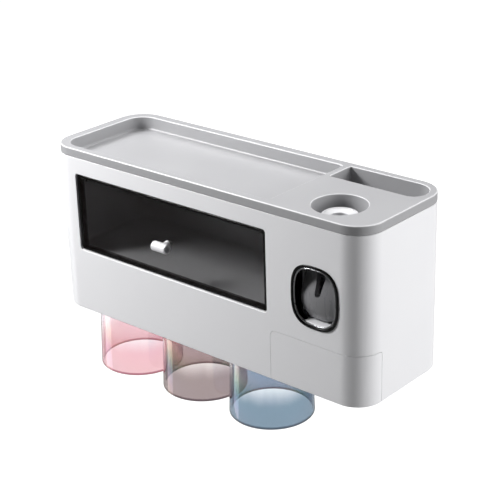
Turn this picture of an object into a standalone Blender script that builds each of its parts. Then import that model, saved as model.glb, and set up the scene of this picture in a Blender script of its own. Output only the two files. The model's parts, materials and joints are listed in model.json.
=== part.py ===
"""Wall-hung toothpaste dispenser with a storage box and three hanging cups.

Sizes here are millimetres, and each mesh is scaled to metres as it is made. +Z is up, +X is the
right of someone who faces the dispenser, and that person stands at -Y. The origin is the centre
of the adhesive pad's back face, which lies on the wall.
"""

import math

import bmesh
import bpy
from mathutils import Vector

METRES = 0.001
GAP = 0.3

# Body shell, open on top, with a skirt round the cups
HALF_WIDTH = 180
FRONT = -120
BACK = -0.8
BOTTOM = -95
SHELL_TOP = 57.5
FRONT_RADIUS = 24
BACK_RADIUS = 26
WALL = 2.6
FOOT_CHAMFER = 0.5
DECK_BOTTOM = -61
DECK_TOP = -58
BAY_WALL = (79.4, 81.0)
BAY_WALL_TOP = 50
FLOOR_BOTTOM = BOTTOM + 0.4
INTO_WALL = WALL / 2
BACK_OPENING = ((-140, 140), (-50, 42))

# Top tray
TRAY_BOTTOM = SHELL_TOP + GAP
TRAY_TOP = 66
SKIRT_INSET = WALL + 0.4
SKIRT_BOTTOM = 50.6
RECESS = (-170, 77, -112, -10)
RECESS_RADII = (16, 4, 4, 18)
RECESS_FLOOR = 53
SLOT = (83, 173, -38, -8)
SLOT_RADII = (2, 12, 18, 2)
SLOT_FLOOR = -2
SLOT_WALL = 1.7
TRAY_SKIN = 2.6
TRAY_HOLLOW = (79.4, 174.4, -114.4, -6.4)
WELL_RADIUS = 23.5
WELL_WALL = 2.1
WELL_LEDGE = (46, 48)
WELL_LEDGE_HOLE = 10.3

# Storage tub behind the door
TUB = (-170.6, 79.1, -111.7, -14.1)
TUB_RADII = (8, 0.5, 0.5, 12)
TUB_BOTTOM = -40
TUB_TOP = 48
TUB_WALL = 2.2
TUB_RIBS = (-165, -95.5, -10.8, 69)
TUB_RIB_HALF = 1.25

# Flip door and its roller knob
DOOR = (-147.4, 78.4, -32.7, 41.1)
DOOR_FACE = -118.8
DOOR_BACK = -115.8
DOOR_RIM_BACK = -112.3
DOOR_RIM = 2.5
DOOR_PLAY = 0.6
EAR_WIDTH = 8.4
EAR_BOTTOM = 34.5
HINGE_Y = -116.8
HINGE_Z = 38
PIN_RADIUS = 0.8
PIN_HOLE = 1.1
DOOR_JAMB = ((-151, 82), (-36.5, 45))
HINGE_BOSSES = ((-157, -146), (77, 88))
HINGE_BOSS_Z = (33, 44.5)
KNOB_X = (DOOR[0] + DOOR[1]) / 2
KNOB_Y = -128
KNOB_Z = 0.1
KNOB_RADIUS = 4.5
KNOB_LENGTH = 16.8
KNOB_HOLLOW = (2.5, 6)
KNOB_NECK = 3
KNOB_PILOT = 1.3

# Oval window, and the push lever and pump behind it
PUMP_X = 130.5
WINDOW_Z = -5.2
WINDOW_HALF = (24.5, 28.1)
OVAL_POWER = 2.9
WINDOW_INSET = 0.9
TUBE_Y = -86
PIVOT_Y = -108
PIVOT_Z = 38
LEVER_HALF = (18.5, 22.2)
LEVER_TOP = 24
LEVER_THICK = 2.4
LEVER_BOW = (2, 3)
LEVER_PIN = 1.5
LEVER_HOLE = 1.8
LEVER_ARMS = (5, 14)
KNUCKLE_RADIUS = 3.9
LEVER_SLOT = (2.8, -3.1, 4.8, 14)
FRAME_WALL = 2.4
FRAME_HALF = 25.4
FRAME_FRONT = -104
FRAME_BACK = -72.6
GUIDE = (-98.5, -96)
GUIDE_HOLE = ((PUMP_X - 7.3, PUMP_X + 7.3), (10.7, 25.3))
SHELF_Z = (0.4, 2.9)
LUGS = (16, 18.4)
PLUNGER_Z = 18
VALVE_RADIUS = 7.7
FUNNEL_RADIUS = 15.4
FUNNEL_TOP = 57.8
LIP_TOP = -28.9
LIP_BACK = -101
PUMP_BOSS = 3.4
PUMP_PILOT = 1.3
PUMP_SCREWS = [(PUMP_X + side * 29.5, z) for side in (-1, 1) for z in (-40, 30)]

# Pull-off cover at the lower right corner
COVER = (82, -47.7, -94.5)
COVER_GAP = 0.35
COVER_WALL = 2.4
SNAP_ARMS = (100, 154)
SNAP_HALF = 4
SNAP_Z = (-75, -72.5)
SNAP_BUMP = ((-90.5, -88), (-73, -71.6))
CATCH_WALL = (-93.5, -91.5)
CATCH_TOP = -68

# Cups, hung base up on magnets
CUP_X = (-137.9, -53.2, 31.5)
CUP_Y = -60
CUP_BASE = DECK_BOTTOM - GAP
CUP_MOUTH = -168.2
CUP_BASE_RADIUS = 35.8
CUP_MOUTH_RADIUS = 39.8
CUP_WALL = 1.9
DISC_RADIUS = 15
MAGNET_RADIUS = 11

# Wall hanger and back panel
PANEL = (-6.0, -3.7)
BACK_SCREWS = ((-147, 40), (-147, -45), (60, 46.5), (147, -14), (147, -48))
WALL_PLATE = (-3.4, -1.3)
PAD = (-1.0, 0)
HOOKS = [(x, z) for x in (-60, 60) for z in (-25, 15)]
HOOK_HALF = 7
HOOK_FRONT = -8.6

CORNER_STEPS = 8
OVAL_STEPS = 40
SMOOTH_ANGLE = math.radians(35)


def clear_scene():
    for obj in list(bpy.data.objects):
        bpy.data.objects.remove(obj, do_unlink=True)


def material(name, colour, roughness, metallic=0.0, alpha=1.0):
    """A Principled material; colour is linear RGB."""
    made = bpy.data.materials.new(name)
    made.use_nodes = True
    shader = made.node_tree.nodes["Principled BSDF"]
    shader.inputs["Base Color"].default_value = (*colour, 1.0)
    shader.inputs["Roughness"].default_value = roughness
    shader.inputs["Metallic"].default_value = metallic
    shader.inputs["Alpha"].default_value = alpha
    made.diffuse_color = (*colour, alpha)
    return made


def link(name, data):
    obj = bpy.data.objects.new(name, data)
    bpy.context.scene.collection.objects.link(obj)
    return obj


def add_object(name, bm, finish):
    """Scale a closed mesh to metres and make it an object, smooth on its round sides."""
    bmesh.ops.scale(bm, vec=(METRES,) * 3, verts=bm.verts[:])
    bmesh.ops.recalc_face_normals(bm, faces=bm.faces[:])
    mesh = bpy.data.meshes.new(name)
    bm.to_mesh(mesh)
    bm.free()
    mesh.shade_smooth()
    mesh.set_sharp_from_angle(angle=SMOOTH_ANGLE)
    if finish:
        mesh.materials.append(finish)
    return link(name, mesh)


def boolean(obj, helper, operation):
    """Combine with a helper solid, which stays out of renders."""
    change = obj.modifiers.new(helper.name, "BOOLEAN")
    change.operation = operation
    change.solver = "EXACT"
    change.object = helper
    helper.hide_render = True
    helper.display_type = "WIRE"


def join(obj, *helpers):
    for helper in helpers:
        boolean(obj, helper, "UNION")


def cut(obj, *helpers):
    for helper in helpers:
        boolean(obj, helper, "DIFFERENCE")


def keep_common(obj, *helpers):
    for helper in helpers:
        boolean(obj, helper, "INTERSECT")


def loft(name, loops, finish=None, closed=False):
    """Skin equal point loops in order, capped at both ends or, if closed, joined in a ring."""
    bm = bmesh.new()
    rings = [[bm.verts.new(point) for point in loop] for loop in loops]
    pairs = list(zip(rings, rings[1:]))
    if closed:
        pairs.append((rings[-1], rings[0]))
    else:
        bm.faces.new(rings[0])
        bm.faces.new(rings[-1])
    for low, high in pairs:
        for i in range(len(low)):
            j = (i + 1) % len(low)
            bm.faces.new((low[i], low[j], high[j], high[i]))
    return add_object(name, bm, finish)


def at_height(points, z):
    return [(x, y, z) for x, y in points]


def at_depth(points, y):
    return [(x, y, z) for x, z in points]


def at_side(points, x):
    return [(x, y, z) for y, z in points]


def rounded_rect(limits, radii, inset=0.0):
    """Rectangle u0, u1, v0, v1 with a radius at each corner, from (u0, v0) anticlockwise."""
    u0, u1, v0, v1 = limits
    corners = ((u0, v0, 1, 1), (u1, v0, -1, 1), (u1, v1, -1, -1), (u0, v1, 1, -1))
    points = []
    for k, ((u, v, su, sv), radius) in enumerate(zip(corners, radii)):
        r = max(radius - inset, 0.05)
        for i in range(CORNER_STEPS + 1):
            a = math.pi + (k + i / CORNER_STEPS) * math.pi / 2
            centre_u = u + su * (inset + r)
            centre_v = v + sv * (inset + r)
            points.append((centre_u + r * math.cos(a), centre_v + r * math.sin(a)))
    return points


def body_outline(inset=0.0):
    radii = (FRONT_RADIUS, FRONT_RADIUS, BACK_RADIUS, BACK_RADIUS)
    return rounded_rect((-HALF_WIDTH, HALF_WIDTH, FRONT, BACK), radii, inset)


def oval(inset=0.0):
    """The superellipse |u|^n + |v|^n = 1 about the window's centre, drawn in by inset."""
    half_width, half_height = WINDOW_HALF
    points = []
    for i in range(OVAL_STEPS):
        a = 2 * math.pi * i / OVAL_STEPS
        u = math.copysign(abs(math.cos(a)) ** (2 / OVAL_POWER), math.cos(a))
        v = math.copysign(abs(math.sin(a)) ** (2 / OVAL_POWER), math.sin(a))
        points.append((PUMP_X + (half_width - inset) * u, WINDOW_Z + (half_height - inset) * v))
    return points


def upright(name, points, z, finish=None):
    """An outline in the XY plane, extruded between two heights."""
    return loft(name, [at_height(points, z[0]), at_height(points, z[1])], finish)


def facing(name, points, y, finish=None):
    """An outline in the XZ plane, extruded between two depths."""
    return loft(name, [at_depth(points, y[0]), at_depth(points, y[1])], finish)


def box(name, x, y, z, finish=None):
    """A block between two limits on each axis."""
    return upright(name, [(x[0], y[0]), (x[1], y[0]), (x[1], y[1]), (x[0], y[1])], z, finish)


def turned(name, profile, centre, axis="Z", steps=32, finish=None):
    """Turn (radius, distance along the axis) points about an axis through centre."""
    bm = bmesh.new()
    rings = []
    for radius, along in profile:
        ring = []
        for i in range(steps if radius > 0 else 1):
            c = radius * math.cos(2 * math.pi * i / steps)
            s = radius * math.sin(2 * math.pi * i / steps)
            offset = {"X": (along, c, s), "Y": (c, along, s), "Z": (c, s, along)}[axis]
            ring.append(bm.verts.new(Vector(centre) + Vector(offset)))
        rings.append(ring)
    pairs = list(zip(rings, rings[1:]))
    if len(rings[0]) > 1:
        pairs.append((rings[-1], rings[0]))
    for first, second in pairs:
        for i in range(steps):
            corners = [ring[k % len(ring)] for ring, k in
                       ((first, i), (first, i + 1), (second, i + 1), (second, i))]
            bm.faces.new(list(dict.fromkeys(corners)))
    return add_object(name, bm, finish)


def rod(name, radius, ends, centre, axis="Z", steps=20, finish=None):
    """A round bar along an axis, between two distances from centre."""
    profile = [(0, ends[0]), (radius, ends[0]), (radius, ends[1]), (0, ends[1])]
    return turned(name, profile, centre, axis, steps, finish)


def screw(name, place, head_end, tip, head_radius, shank_radius, finish):
    """A pan head screw along Y at (x, z), with a cross recess in its head."""
    way = 1 if tip > head_end else -1
    head_height = 1.1
    edge = 0.4
    profile = [(0, head_end), (head_radius - edge, head_end), (head_radius, head_end + way * edge),
               (head_radius, head_end + way * head_height),
               (shank_radius, head_end + way * head_height),
               (shank_radius, tip - way * shank_radius), (0, tip)]
    made = turned(name, profile, (place[0], 0, place[1]), "Y", 10, finish)
    recess = sorted((head_end - way, head_end + way * 0.6))
    for k, (half_x, half_z) in enumerate(((1.3, 0.35), (0.35, 1.3))):
        x = (place[0] - half_x, place[0] + half_x)
        z = (place[1] - half_z, place[1] + half_z)
        cut(made, box(f"{name}_recess_{k}", x, recess, z))
    return made


def wire(name, points, radius, finish):
    """One unbroken round wire through points."""
    curve = bpy.data.curves.new(name, "CURVE")
    curve.dimensions = "3D"
    curve.bevel_depth = radius * METRES
    curve.bevel_resolution = 1
    curve.use_fill_caps = True
    curve.materials.append(finish)
    spline = curve.splines.new("POLY")
    spline.points.add(len(points) - 1)
    for spot, (x, y, z) in zip(spline.points, points):
        spot.co = (x * METRES, y * METRES, z * METRES, 1)
    return link(name, curve)


def hang_on(pivot_name, place, members, parent=None):
    """Put an empty on a joint's axis and parent the joint's pieces to it where they are."""
    pivot = link(pivot_name, None)
    pivot.parent = parent
    pivot.location = Vector(place) * METRES
    for member in members:
        member.parent = pivot
        member.location = -pivot.location
    return pivot


def cover_space(name, gap):
    """The corner that the pull-off cover fills: rounded in the front view and the side view."""
    left, top, end = COVER[0] + gap, COVER[1] - gap, COVER[2] - gap
    front_view = rounded_rect((left, HALF_WIDTH + 20, BOTTOM - 20, top), (1, 1, 1, 6 - gap))
    side_view = rounded_rect((FRONT - 20, end, BOTTOM - 20, top), (1, 1, 3 - gap, 1))
    space = facing(name, front_view, (FRONT - 10, end + 10))
    sides = (left - 10, HALF_WIDTH + 10)
    keep_common(space, loft(f"{name}_side_view", [at_side(side_view, x) for x in sides]))
    return space


def make_housing(finish):
    """Shell with a deck over the cups, a pump bay at the right and all its openings."""
    loops = [at_height(body_outline(FOOT_CHAMFER), BOTTOM),
             at_height(body_outline(), BOTTOM + FOOT_CHAMFER),
             at_height(body_outline(), SHELL_TOP),
             at_height(body_outline(WALL), SHELL_TOP),
             at_height(body_outline(WALL), BOTTOM)]
    housing = loft("housing", loops, finish, closed=True)
    left, right = -HALF_WIDTH + INTO_WALL, HALF_WIDTH - INTO_WALL
    front, back = FRONT + INTO_WALL, BACK - INTO_WALL
    front_r, back_r = FRONT_RADIUS - INTO_WALL, BACK_RADIUS - INTO_WALL
    deck = rounded_rect((left, 80.5, front, back), (front_r, 0.5, 0.5, back_r))
    floor = rounded_rect((80.5, right, front, back), (0.5, front_r, back_r, 0.5))
    jamb_x, jamb_z = DOOR_JAMB
    join(housing,
         upright("deck", deck, (DECK_BOTTOM, DECK_TOP)),
         upright("bay_floor", floor, (FLOOR_BOTTOM, FLOOR_BOTTOM + WALL)),
         box("bay_wall", BAY_WALL, (front, PANEL[0] - GAP), (FLOOR_BOTTOM, BAY_WALL_TOP)),
         box("bay_wall_foot", BAY_WALL, (PANEL[0] - 5, back), (FLOOR_BOTTOM, DECK_TOP - 0.5)),
         box("catch_wall", (80.5, right), CATCH_WALL, (FLOOR_BOTTOM + 1, CATCH_TOP)),
         box("door_jamb", jamb_x, (front, DOOR_RIM_BACK + GAP), jamb_z))
    for side, ends in zip(("left", "right"), HINGE_BOSSES):
        join(housing, box(f"hinge_boss_{side}", ends, (front, DOOR_RIM_BACK - 0.1), HINGE_BOSS_Z))
    for k, place in enumerate(PUMP_SCREWS):
        centre = (place[0], 0, place[1])
        boss = (front, FRAME_FRONT - GAP)
        join(housing, rod(f"pump_boss_{k}", PUMP_BOSS, boss, centre, "Y", 16))
        cut(housing, rod(f"pump_pilot_{k}", PUMP_PILOT, (-116.5, -100), centre, "Y", 12))
    cut_housing(housing)
    return housing


def cut_housing(housing):
    """Door and window openings, hinge and screw holes, magnet pockets, cover corner, back."""
    grown = (DOOR[0] - DOOR_PLAY, DOOR[1] + DOOR_PLAY, DOOR[2] - DOOR_PLAY, DOOR[3] + 0.8)
    cut(housing,
        facing("door_opening", rounded_rect(grown, (3, 3, 3, 3)), (-130, -105)),
        facing("window_opening", oval(WINDOW_INSET), (-130, -110)),
        rod("hinge_hole_left", PIN_HOLE, (-156, -140), (0, HINGE_Y, HINGE_Z), "X", 12),
        rod("hinge_hole_right", PIN_HOLE, (71, 87), (0, HINGE_Y, HINGE_Z), "X", 12),
        cover_space("cover_corner", 0),
        box("back_opening", BACK_OPENING[0], (-10, 10), BACK_OPENING[1]))
    for k, x in enumerate(CUP_X):
        pocket = (MAGNET_RADIUS + GAP, (DECK_BOTTOM + 1.2, DECK_TOP + 5), (x, CUP_Y, 0))
        cut(housing, rod(f"magnet_pocket_{k}", *pocket, steps=24))
    for k, x in enumerate(SNAP_ARMS):
        sides = (x - SNAP_HALF - 0.6, x + SNAP_HALF + 0.6)
        heights = (SNAP_Z[0] - 0.6, SNAP_BUMP[1][1] + 0.6)
        cut(housing, box(f"snap_window_{k}", sides, (-100, -85), heights))
    for k, (x, z) in enumerate(BACK_SCREWS):
        cut(housing,
            rod(f"back_hole_{k}", 1.5, (-8, 5), (x, 0, z), "Y", 12),
            rod(f"back_counterbore_{k}", 3.1, (-2.2, 5), (x, 0, z), "Y", 16))


def make_tray(finish):
    """Tray with a shallow recess, a well for the paste tube and a deep slot at the back."""
    edge = ((0, TRAY_BOTTOM), (0, TRAY_TOP - 0.8), (0.25, TRAY_TOP - 0.25), (0.8, TRAY_TOP))
    tray = loft("tray", [at_height(body_outline(inset), z) for inset, z in edge], finish)
    well = (PUMP_X, TUBE_Y, 0)
    slot_outside = rounded_rect(SLOT, SLOT_RADII, -SLOT_WALL)
    hollow = rounded_rect(TRAY_HOLLOW, (1, 18, 20, 1))
    under_top = TRAY_TOP - TRAY_SKIN
    join(tray, upright("tray_skirt", body_outline(SKIRT_INSET), (SKIRT_BOTTOM, TRAY_BOTTOM + 0.7)))
    cut(tray,
        upright("tray_recess", rounded_rect(RECESS, RECESS_RADII), (RECESS_FLOOR, TRAY_TOP + 5)),
        upright("tray_hollow", hollow, (SKIRT_BOTTOM - 5, under_top)))
    join(tray,
         rod("well_wall", WELL_RADIUS + WELL_WALL, (WELL_LEDGE[0], under_top + 1), well, steps=40),
         upright("slot_wall", slot_outside, (SLOT_FLOOR - 2, under_top + 1)))
    cut(tray,
        rod("well_hole", WELL_RADIUS, (WELL_LEDGE[1], TRAY_TOP + 5), well, steps=40),
        rod("well_ledge", WELL_LEDGE_HOLE, (40, 50), well, steps=32),
        upright("slot_pocket", rounded_rect(SLOT, SLOT_RADII), (SLOT_FLOOR, TRAY_TOP + 5)))
    return tray


def make_storage_tub(finish):
    """Storage box, open in front and on top, on four ribs that stand on the deck."""
    tub = upright("storage_tub", rounded_rect(TUB, TUB_RADII), (TUB_BOTTOM, TUB_TOP), finish)
    inside = (TUB[0] + TUB_WALL, TUB[1] - TUB_WALL, TUB[2] - 20, TUB[3] - TUB_WALL)
    radii = (0.5, 0.5, 0.5, TUB_RADII[3] - TUB_WALL)
    for k, x in enumerate(TUB_RIBS):
        sides = (x - TUB_RIB_HALF, x + TUB_RIB_HALF)
        join(tub, box(f"tub_rib_{k}", sides, (-100, -25), (DECK_TOP + GAP, TUB_BOTTOM + 1)))
    space = (TUB_BOTTOM + TUB_WALL + 0.2, TUB_TOP + 5)
    cut(tub, upright("tub_inside", rounded_rect(inside, radii), space))
    return tub


def make_back_panel(finish):
    """Inner panel with four hook slots, held by five screws from behind."""
    outline = rounded_rect((-156, 156, DECK_TOP + 0.4, SKIRT_BOTTOM - 0.4), (4, 4, 4, 4))
    panel = facing("back_panel", outline, PANEL, finish)
    for k, (x, z) in enumerate(BACK_SCREWS):
        join(panel, rod(f"panel_boss_{k}", 3.2, (-12, PANEL[0] + 1), (x, 0, z), "Y", 16))
    for k, (x, z) in enumerate(BACK_SCREWS):
        cut(panel, rod(f"panel_hole_{k}", 1.4, (-11.8, 0), (x, 0, z), "Y", 12))
    for k, (x, z) in enumerate(HOOKS):
        wide = HOOK_HALF + 0.6
        cut(panel, box(f"hook_slot_{k}", (x - wide, x + wide), (-20, 10), (z - 11, z + 1.8)))
    return panel


def make_wall_plate(finish):
    """Plate stuck to the wall, with four upturned hooks."""
    outline = rounded_rect((-80, 80, -38, 40), (6, 6, 6, 6))
    plate = facing("wall_plate", outline, WALL_PLATE, finish)
    for k, (x, z) in enumerate(HOOKS):
        sides = (x - HOOK_HALF, x + HOOK_HALF)
        join(plate,
             box(f"hook_stem_{k}", sides, (HOOK_FRONT, -2.5), (z - 1.5, z + 1.5)),
             box(f"hook_tip_{k}", sides, (HOOK_FRONT, PANEL[0] - GAP), (z - 1.5, z + 7)))
    return plate


def make_adhesive_pad(finish):
    outline = rounded_rect((-78, 78, -36, 38), (6, 6, 6, 6))
    return facing("adhesive_pad", outline, PAD, finish)


def make_door(finish):
    """Smoked flip door: a pane with a rim on three sides and two hinge ears at its top."""
    left, right, bottom, top = DOOR
    door = facing("door", rounded_rect(DOOR, (3, 3, 3, 3)), (DOOR_FACE, DOOR_RIM_BACK), finish)
    inside = (left + DOOR_RIM, right - DOOR_RIM)
    between_ears = (left + EAR_WIDTH, right - EAR_WIDTH)
    hinge = (0, HINGE_Y, HINGE_Z)
    cut(door,
        box("pane_back", inside, (DOOR_BACK, -100), (bottom + DOOR_RIM, EAR_BOTTOM)),
        box("pane_top", between_ears, (DOOR_BACK, -100), (EAR_BOTTOM - 3, top + 10)),
        box("ear_back", (left - 10, right + 10), (-114.3, -100), (EAR_BOTTOM, top + 10)),
        rod("ear_hole_left", PIN_HOLE, (left - 5, left + 8), hinge, "X", 12),
        rod("ear_hole_right", PIN_HOLE, (right - 8, right + 5), hinge, "X", 12),
        rod("knob_hole", 1.6, (-130, -100), (KNOB_X, 0, KNOB_Z), "Y", 14))
    return door


def make_hinge_pins(finish):
    hinge = (0, HINGE_Y, HINGE_Z)
    left = rod("hinge_pin_left", PIN_RADIUS, (-155.7, -139.8), hinge, "X", 10, finish)
    right = rod("hinge_pin_right", PIN_RADIUS, (70.8, 86.7), hinge, "X", 10, finish)
    return [left, right]


def make_knob(finish):
    """Roller lying along X on a short neck, with a hollow in each end."""
    end = KNOB_LENGTH / 2
    hollow, depth = KNOB_HOLLOW
    edge = 0.5
    half = [(0, end - depth), (hollow, end - depth), (hollow, end), (KNOB_RADIUS - edge, end),
            (KNOB_RADIUS, end - edge)]
    profile = half + [(radius, -along) for radius, along in reversed(half)]
    knob = turned("knob", profile, (KNOB_X, KNOB_Y, KNOB_Z), "X", 24, finish)
    neck = (KNOB_X, 0, KNOB_Z)
    join(knob, rod("knob_neck", KNOB_NECK, (-124.8, DOOR_FACE - GAP), neck, "Y", 18))
    cut(knob, rod("knob_pilot", KNOB_PILOT, (-126.4, -110), neck, "Y", 12))
    return knob


def make_window_bezel(finish):
    """Black oval ring: a raised flange and a sleeve through the front wall."""
    section = ((1.3, -113.2), (1.3, FRONT - GAP), (0, FRONT - GAP), (0, -120.7), (0.4, -121),
               (1.9, -121), (2.3, -120.6), (2.3, -113.2))
    loops = [at_depth(oval(inset), y) for inset, y in section]
    return loft("window_bezel", loops, finish, closed=True)


def make_bezel_trim(finish):
    section = ((2.6, -119.4), (2.6, -120.5), (3.8, -120.5), (3.8, -119.4))
    loops = [at_depth(oval(inset), y) for inset, y in section]
    return loft("bezel_trim", loops, finish, closed=True)


def make_drip_lip(finish):
    """White shelf in the foot of the sleeve, flat on top, which catches a drop of paste."""
    lip = facing("drip_lip", oval(2.6), (-119.1, LIP_BACK), finish)
    middle = (PUMP_X - 12, PUMP_X + 12)
    keep_common(lip, box("lip_part", middle, (-130, -90), (WINDOW_Z - 40, LIP_TOP)))
    return lip


def lever_face(z):
    """Depth of the lever's middle line: it leans back towards its top."""
    share = min(max((15 - z) / 26, 0), 1)
    return -107.2 - 6.5 * math.sin(share * math.pi / 2) ** 2


def lever_section(z):
    """Level section of the lever's plate, bowed forward in front and flat behind."""
    half, tall = LEVER_HALF
    drop = max(WINDOW_Z - z, 0) / tall
    wide = half * (1 - drop ** OVAL_POWER) ** (1 / OVAL_POWER)
    shares = [-1 + k / 4 for k in range(9)]
    ahead, sag = LEVER_BOW
    front = [(PUMP_X + s * wide, lever_face(z) - ahead + sag * (s * wide / half) ** 2)
             for s in shares]
    back = [(PUMP_X + s * wide, lever_face(z) + LEVER_THICK) for s in reversed(shares)]
    return at_height(front + back, z)


def make_push_lever(finish):
    """Plate that a brush pushes back, slotted for the nozzle and hung from two arms."""
    low = WINDOW_Z - LEVER_HALF[1] + 0.2
    heights = [low, low + 0.8, low + 2.2, low + 4.5, low + 8, -14, -10, -6, -2, 2, 6, 10, 15, LEVER_TOP]
    lever = loft("push_lever", [lever_section(z) for z in heights], finish)
    for side, name in ((-1, "left"), (1, "right")):
        ends = sorted(PUMP_X + side * end for end in LEVER_ARMS)
        join(lever,
             box(f"lever_arm_{name}", ends, (-108.6, -104.9), (LEVER_TOP - 4, PIVOT_Z)),
             rod(f"lever_knuckle_{name}", KNUCKLE_RADIUS, ends, (0, PIVOT_Y, PIVOT_Z), "X", 20))
    round_radius, round_z, top_half, slot_top = LEVER_SLOT
    round_end = [(PUMP_X + round_radius * math.cos(a), round_z + round_radius * math.sin(a))
                 for a in [math.pi * (1 + k / 8) for k in range(9)]]
    slot = round_end + [(PUMP_X + top_half, slot_top), (PUMP_X - top_half, slot_top)]
    sides = (PUMP_X - 30, PUMP_X + 30)
    cut(lever,
        facing("lever_slot", slot, (-130, -90)),
        rod("lever_bore", LEVER_HOLE, sides, (0, PIVOT_Y, PIVOT_Z), "X", 14))
    return lever


def make_lever_pin(finish):
    ends = (PUMP_X - 19, PUMP_X + 19)
    return rod("lever_pin", LEVER_PIN, ends, (0, PIVOT_Y, PIVOT_Z), "X", 16, finish)


def make_lever_spring(finish):
    """Torsion spring on the lever's pin: one leg on the lever, the other on the frame."""
    turns, per_turn, radius, half = 4, 9, 2.9, 3.8
    coil = []
    for i in range(turns * per_turn + 1):
        a = 2 * math.pi * i / per_turn
        x = PUMP_X - half + 2 * half * i / (turns * per_turn)
        coil.append((x, PIVOT_Y + radius * math.cos(a), PIVOT_Z - radius * math.sin(a)))
    on_lever = [(PUMP_X - half, -104.2, 20.6), (PUMP_X - half, -104.3, PIVOT_Z - 4)]
    on_frame = [(PUMP_X + half, -101.5, 35.5), (PUMP_X + half, GUIDE[0] - 0.6, 32)]
    return wire("lever_spring", on_lever + coil + on_frame, 0.45, finish)


def make_plunger(finish):
    """Block that the lever pushes against the soft tube, with a rounded nose."""
    plunger = box("plunger", (PUMP_X - 7, PUMP_X + 7), (-101.5, -94.4), (11, 25), finish)
    nose = (-102.5, PLUNGER_Z)
    ends = (PUMP_X - 5, PUMP_X + 5)
    join(plunger,
         box("nose_block", ends, (nose[0], -100), (nose[1] - 1.9, nose[1] + 1.9)),
         rod("nose_round", 2, ends, (0, *nose), "X", 20))
    return plunger


def make_pump_frame(finish):
    """U-shaped frame on four bosses, with the lever's lugs, a guide, an anvil and a shelf."""
    x0, x1 = PUMP_X - FRAME_HALF, PUMP_X + FRAME_HALF
    depth = (FRAME_FRONT, FRAME_BACK)
    back_wall = (FRAME_BACK - FRAME_WALL, FRAME_BACK)
    across = (x0 + 1, x1 - 1)
    frame = box("pump_frame", (x0, x1), back_wall, (-20, 45.4), finish)
    join(frame,
         box("frame_left", (x0, x0 + FRAME_WALL), depth, (-45, 45.4)),
         box("frame_right", (x1 - FRAME_WALL, x1), depth, (-45, 45.4)),
         box("frame_top", across, (-103.5, -73), (43, 45.1)),
         box("frame_guide", across, GUIDE, (9, 44)),
         box("frame_shelf", across, (-97, -73), SHELF_Z),
         box("frame_anvil", (PUMP_X - 8, PUMP_X + 8), (-77.6, -74), (10, 28)))
    for side in (-1, 1):
        lug = sorted(PUMP_X + side * end for end in LUGS)
        join(frame, box(f"lug_{side}", lug, (-112, -97.5), (33, 42.6)))
    for k, (x, z) in enumerate(PUMP_SCREWS):
        side = math.copysign(1, x - PUMP_X)
        ear = sorted((PUMP_X + side * (FRAME_HALF - 1), x + side * 3.6))
        join(frame, box(f"frame_ear_{k}", ear, (FRAME_FRONT, FRAME_FRONT + 2.5), (z - 5, z + 5)))
        cut(frame, rod(f"frame_ear_hole_{k}", 1.5, (-110, -95), (x, 0, z), "Y", 12))
    cut(frame,
        box("plunger_hole", GUIDE_HOLE[0], (-100, -95), GUIDE_HOLE[1]),
        box("nozzle_notch", (PUMP_X - 2.6, PUMP_X + 2.6), (-100, -82), (-2, 5)),
        rod("neck_hole", 9.9, (40, 50), (PUMP_X, TUBE_Y, 0), steps=28),
        rod("lug_hole", LEVER_HOLE, (PUMP_X - 22, PUMP_X + 22), (0, PIVOT_Y, PIVOT_Z), "X", 14))
    return frame


def make_inlet_adapter(finish):
    """Funnel in the tray's well that takes the neck of an upturned paste tube."""
    rim, top, seat = FUNNEL_RADIUS, FUNNEL_TOP, WELL_LEDGE[1] + GAP
    profile = [(rim, seat), (rim, top - 0.5), (rim - 0.5, top), (rim - 1.3, top), (8.4, 56),
               (7.5, 55.2), (7.5, 30), (9.5, 30), (9.5, seat)]
    return turned("inlet_adapter", profile, (PUMP_X, TUBE_Y, 0), "Z", 30, finish)


def make_inlet_seal(finish):
    profile = [(7.2, 30.3), (7.2, 34), (5, 34), (5, 30.3)]
    return turned("inlet_seal", profile, (PUMP_X, TUBE_Y, 0), "Z", 24, finish)


def make_squeeze_tube(finish):
    """Soft tube between the seal and the valve, which the plunger squeezes."""
    profile = [(8, 8), (8, 29.7), (5.6, 29.7), (5.6, 8)]
    return turned("squeeze_tube", profile, (PUMP_X, TUBE_Y, 0), "Z", 24, finish)


def make_outlet_valve(finish):
    """Flap disc with a slit that lets paste out and no air in."""
    valve = rod("outlet_valve", VALVE_RADIUS, (6, 7.7), (PUMP_X, TUBE_Y, 0), "Z", 24, finish)
    cut(valve, box("valve_slit", (PUMP_X - 3, PUMP_X + 3), (TUBE_Y - 0.3, TUBE_Y + 0.3), (5, 9)))
    return valve


def make_outlet_nozzle(finish):
    """Elbow from the valve to the lever's slot."""
    flange = (SHELF_Z[1] + GAP, SHELF_Z[1] + 2.8)
    nozzle = rod("outlet_nozzle", VALVE_RADIUS, flange, (PUMP_X, TUBE_Y, 0), "Z", 24, finish)
    along = (PUMP_X, 0, 0)
    join(nozzle,
         rod("nozzle_drop", 1.9, (-1.9, 4), (PUMP_X, TUBE_Y, 0), steps=14),
         rod("nozzle_spout", 1.88, (-107.6, TUBE_Y), along, "Y", 14))
    cut(nozzle,
        rod("nozzle_inlet", 1.1, (0, 8), (PUMP_X, TUBE_Y, 0), steps=12),
        rod("nozzle_bore", 1.08, (-110, TUBE_Y), along, "Y", 12))
    return nozzle


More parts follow.
